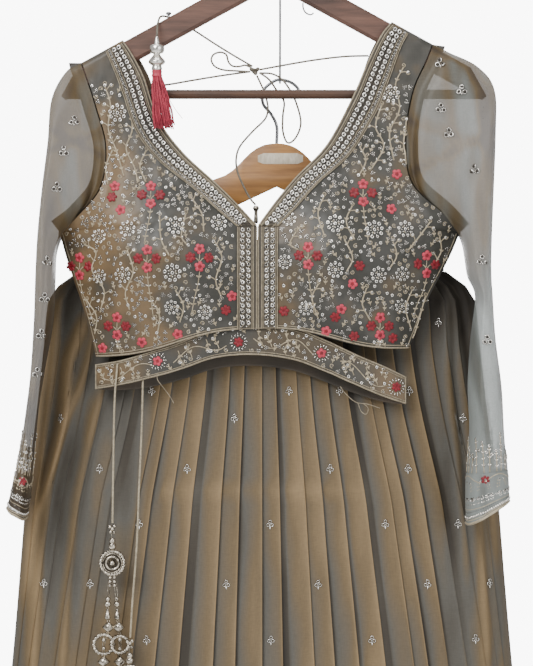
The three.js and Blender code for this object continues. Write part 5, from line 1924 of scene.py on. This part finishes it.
def add_sleeve_embroidery():
    for side in ("left", "right"):
        surface, girth = sleeve_surface(side)
        rng = np.random.default_rng(SEED + (30 if side == "left" else 31))
        design = Design(SEED + (32 if side == "left" else 33))
        half = girth / 2
        waves = 9
        a = np.linspace(-half, half, waves * 6 + 1)
        for height, radius, wave in CUFF_LINES:
            b = height + wave * np.sin(a / half * np.pi * 3.5)
            design.line(np.stack([a, b], -1), radius, 2.2)
        for k in range(int(girth / 3.4)):
            x = -half + 3.4 * (k + 0.5)
            design.spot("bead", x, 6.0, 1.45)
            design.line([(x - 0.9, 4.4), (x - 0.9, 8.8)], 0.38, 1.6)
            design.spot("ring", x, 10.0, 1.1)
        for k in range(int(girth / 7.5)):
            x = -half + 7.5 * (k + 0.5)
            design.twig(x, 13.5, 8, np.pi / 2, 0.5 * (-1) ** k, 2, "ring", 3.4, "glint")
        for k in range(int(girth / 16)):
            x = -half + 16 * (k + 0.5) + rng.uniform(-1, 1)
            design.twig(x, 25, 11, np.pi / 2 + 0.2, 0.8 * (-1) ** k, 3, "disc", 3.8)
            design.curl(x + 6, 30, 3.0 * (-1) ** k, 0.5)
        for x, colour in ((-8, "red"), (62, "coral"), (88, "red")):
            design.spot(colour, x if side == "right" else -x, 37, 4.8)
        for k in range(int(girth / 11)):
            x = -half + 11 * (k + 0.5) + rng.uniform(-2, 2)
            top = rng.uniform(14, 50)
            lean = rng.uniform(-0.1, 0.1)
            design.twig(x, 44, top, np.pi / 2 + lean, 0.15, max(2, int(top / 7)), "disc", 3.6, "glint")
            design.spot("disc", x + 4, 46 + 0.6 * top, 1.7)
            design.spot("disc", x + 4.5, 20, 1.8)
        stitch(design, surface, f"cuff_{side}")
        motifs = Design(SEED + 40)
        for x, y in SLEEVE_TREFOILS[side]:
            motifs.trefoil(*px(x, y), 3.3)
            motifs.spot("glint", px(x, y)[0], px(x, y)[1] - 2, 3.4, -np.pi / 2)
        stitch(motifs, front_finder(side), f"sleeve_{side}_motifs")


def front_finder(side):
    """The sleeve's front by x and z."""
    t, s = np.meshgrid(np.linspace(0, SLEEVE_END, 160), np.linspace(0.02, 0.98, 70), indexing="ij")
    points = sleeve_point(side, t, s, np.zeros(t.shape, bool))
    tree = mathutils.kdtree.KDTree(t.size)
    for k, point in enumerate(points.reshape(-1, 3)):
        tree.insert((point[0], 0, point[2]), k)
    tree.balance()
    flat = points.reshape(-1, 3)

    def surface(x, z):
        x, z = np.broadcast_arrays(np.asarray(x, float), np.asarray(z, float))
        near = [tree.find((a, 0, b))[1] for a, b in zip(x.ravel(), z.ravel())]
        y = flat[near, 1].reshape(x.shape)
        return np.stack([x, y - 0.3, z], -1)
    return surface


ALLOWANCE = 12.5


def add_allowances():
    """The armhole's seam allowance, which shows through the sheer sleeve."""
    for side in ("left", "right"):
        k, w = np.meshgrid(np.linspace(0.15, UNDERARM_ROW, 90), np.linspace(-1.8, ALLOWANCE, 7),
                           indexing="ij")
        edge = armhole_edge(side, k)
        after = armhole_edge(side, np.minimum(k + 0.05, UNDERARM_ROW))
        ahead = unit(after - armhole_edge(side, k - 0.05))
        away = -1 if side == "left" else 1
        x = edge[..., 0] - away * w * ahead[..., 1]
        z = edge[..., 1] + away * w * ahead[..., 0]
        y = 0.5 * choli_point(side, "front", k, np.ones_like(k))[..., 1] - 0.1 * w
        y = y + 0.5 * noise(x, z, 7, 1)
        points = quad_out(np.stack([x, y, z], -1), -1)
        tone = np.full(points.shape[:2], 0.5)
        obj = grid_piece(f"armhole_allowance_{side}", points, SEAM_CLOTH,
                         thickness=0.6, tone=tone)


add_sleeve_embroidery()
add_allowances()


# Skirt trefoils

# Levels as z and the pleats that carry a trefoil there.
SKIRT_MOTIFS = [
    (-455, (3, 10, 19, 23)), (-530, (6, 14, 17, 21)), (-560, (1, 11, 24)), (-612, (4, 9, 16, 20)),
    (-668, (7, 13, 18, 22)), (-730, (2, 5, 11, 15, 20, 24)), (-790, (8, 13, 17, 22)),
    (-880, (3, 7, 12, 16, 21)), (-1000, (5, 10, 14, 19, 23)), (-1120, (3, 8, 12, 17, 21)),
    (-1240, (5, 10, 15, 19, 23)), (-1360, (3, 7, 12, 17, 21)), (-1470, (5, 9, 14, 19, 23)),
]


TREFOIL_TURNS = (0, 2.1, 4.2)
TREFOIL = {"room": 2.4, "ring": 2.1, "lift": 0.5, "drop": 2, "stalk": 4.5}
# The points of a pleat's profile between which a trefoil lies.
TREFOIL_SPAN = (3, 6)


def add_skirt_motifs():
    sequins = Heap()
    shape = FORMS["ring"][0]
    petal = FORMS["glint"][0]
    for face, sign in (("front", -1), ("back", 1)):
        points, _ = skirt_grid(face, 240)
        levels = points[:, 0, 2]
        per = len(PLEAT_PROFILE)
        for z, pleats in SKIRT_MOTIFS:
            row = int(np.argmin(np.abs(levels - z)))
            for pleat in pleats:
                low, high = (points[row, pleat * per + k] for k in TREFOIL_SPAN)
                here = (low + high) / 2
                right = high - low
                right = right / np.linalg.norm(right)
                up = np.array([0, 0, 1.0])
                out = np.cross(right, up)
                out = out * (1 if out[1] * sign > 0 else -1)
                room, lift = TREFOIL["room"], TREFOIL["lift"]
                frames = [], [], [], []
                for turn in TREFOIL_TURNS:
                    a = np.pi / 2 + turn
                    place = here + right * room * math.cos(a) + up * room * math.sin(a) + out * lift
                    for store, value in zip(frames, (place, right, up, out)):
                        store.append(value)
                sequins.stamp(shape, tuple(np.array(f) for f in frames), TREFOIL["ring"])
                foot = here + out * lift - up * TREFOIL["drop"]
                stalk = tuple(np.array([f]) for f in (foot, right, -up, out))
                sequins.stamp(petal, stalk, TREFOIL["stalk"])
    sequins.piece("skirt_trefoils", SEQUIN, "silver_beads")


add_skirt_motifs()


# Studio
FLOOR_LEVEL = -1.66
WALL_PLACE = 16
WALL_GLOW = 9.0
SKY_LIGHT = 0.5
# The lamps, as name, place, size and power.
LAMPS = [
    ("key", (-1.5, -2.6, 1.3), 1.7, 112),
    ("fill", (1.9, -2.4, 0.1), 2.0, 38),
    ("top", (0.0, -0.6, 2.2), 1.6, 34),
    ("rim", (0.0, 2.6, 1.6), 2.4, 60),
]
LAMP_TARGET = (0.0, 0.0, -0.5)


def stage_plane(name, corners, material):
    data = bpy.data.meshes.new(name)
    data.from_pydata(corners, [], [[0, 1, 2, 3]])
    data.materials.append(material)
    link(bpy.data.objects.new(name, data))


def studio():
    floor = Nodes("studio floor")
    floor.put("Base Color", (0.93, 0.93, 0.93, 1))
    floor.put("Roughness", 0.95)
    corners = [(x, y, FLOOR_LEVEL) for x, y in ((-5, -6), (5, -6), (5, 6), (-5, 6))]
    stage_plane("studio_floor", corners, floor.material)
    # The wall stands so far off that views from behind still see the set.
    wall = Nodes("studio wall")
    wall.put("Base Color", (0, 0, 0, 1))
    wall.put("Emission Color", (1, 1, 1, 1))
    wall.put("Emission Strength", WALL_GLOW)
    corners = [(x, WALL_PLACE, z) for x, z in ((-5, -6), (5, -6), (5, 5), (-5, 5))]
    stage_plane("studio_wall", corners, wall.material)

    world = bpy.data.worlds.new("studio")
    world.use_nodes = True
    sky = world.node_tree.nodes["Background"]
    sky.inputs["Color"].default_value = (1, 1, 1, 1)
    sky.inputs["Strength"].default_value = SKY_LIGHT
    bpy.context.scene.world = world

    for name, place, size, power in LAMPS:
        data = bpy.data.lights.new(name, "AREA")
        data.size = size
        data.energy = power
        obj = link(bpy.data.objects.new(name, data))
        obj.location = place
        aim = np.array(LAMP_TARGET) - np.array(place)
        yaw = math.atan2(aim[0], aim[1])
        pitch = math.atan2(math.hypot(aim[0], aim[1]), -aim[2])
        obj.rotation_euler = (pitch, 0, -yaw)


studio()
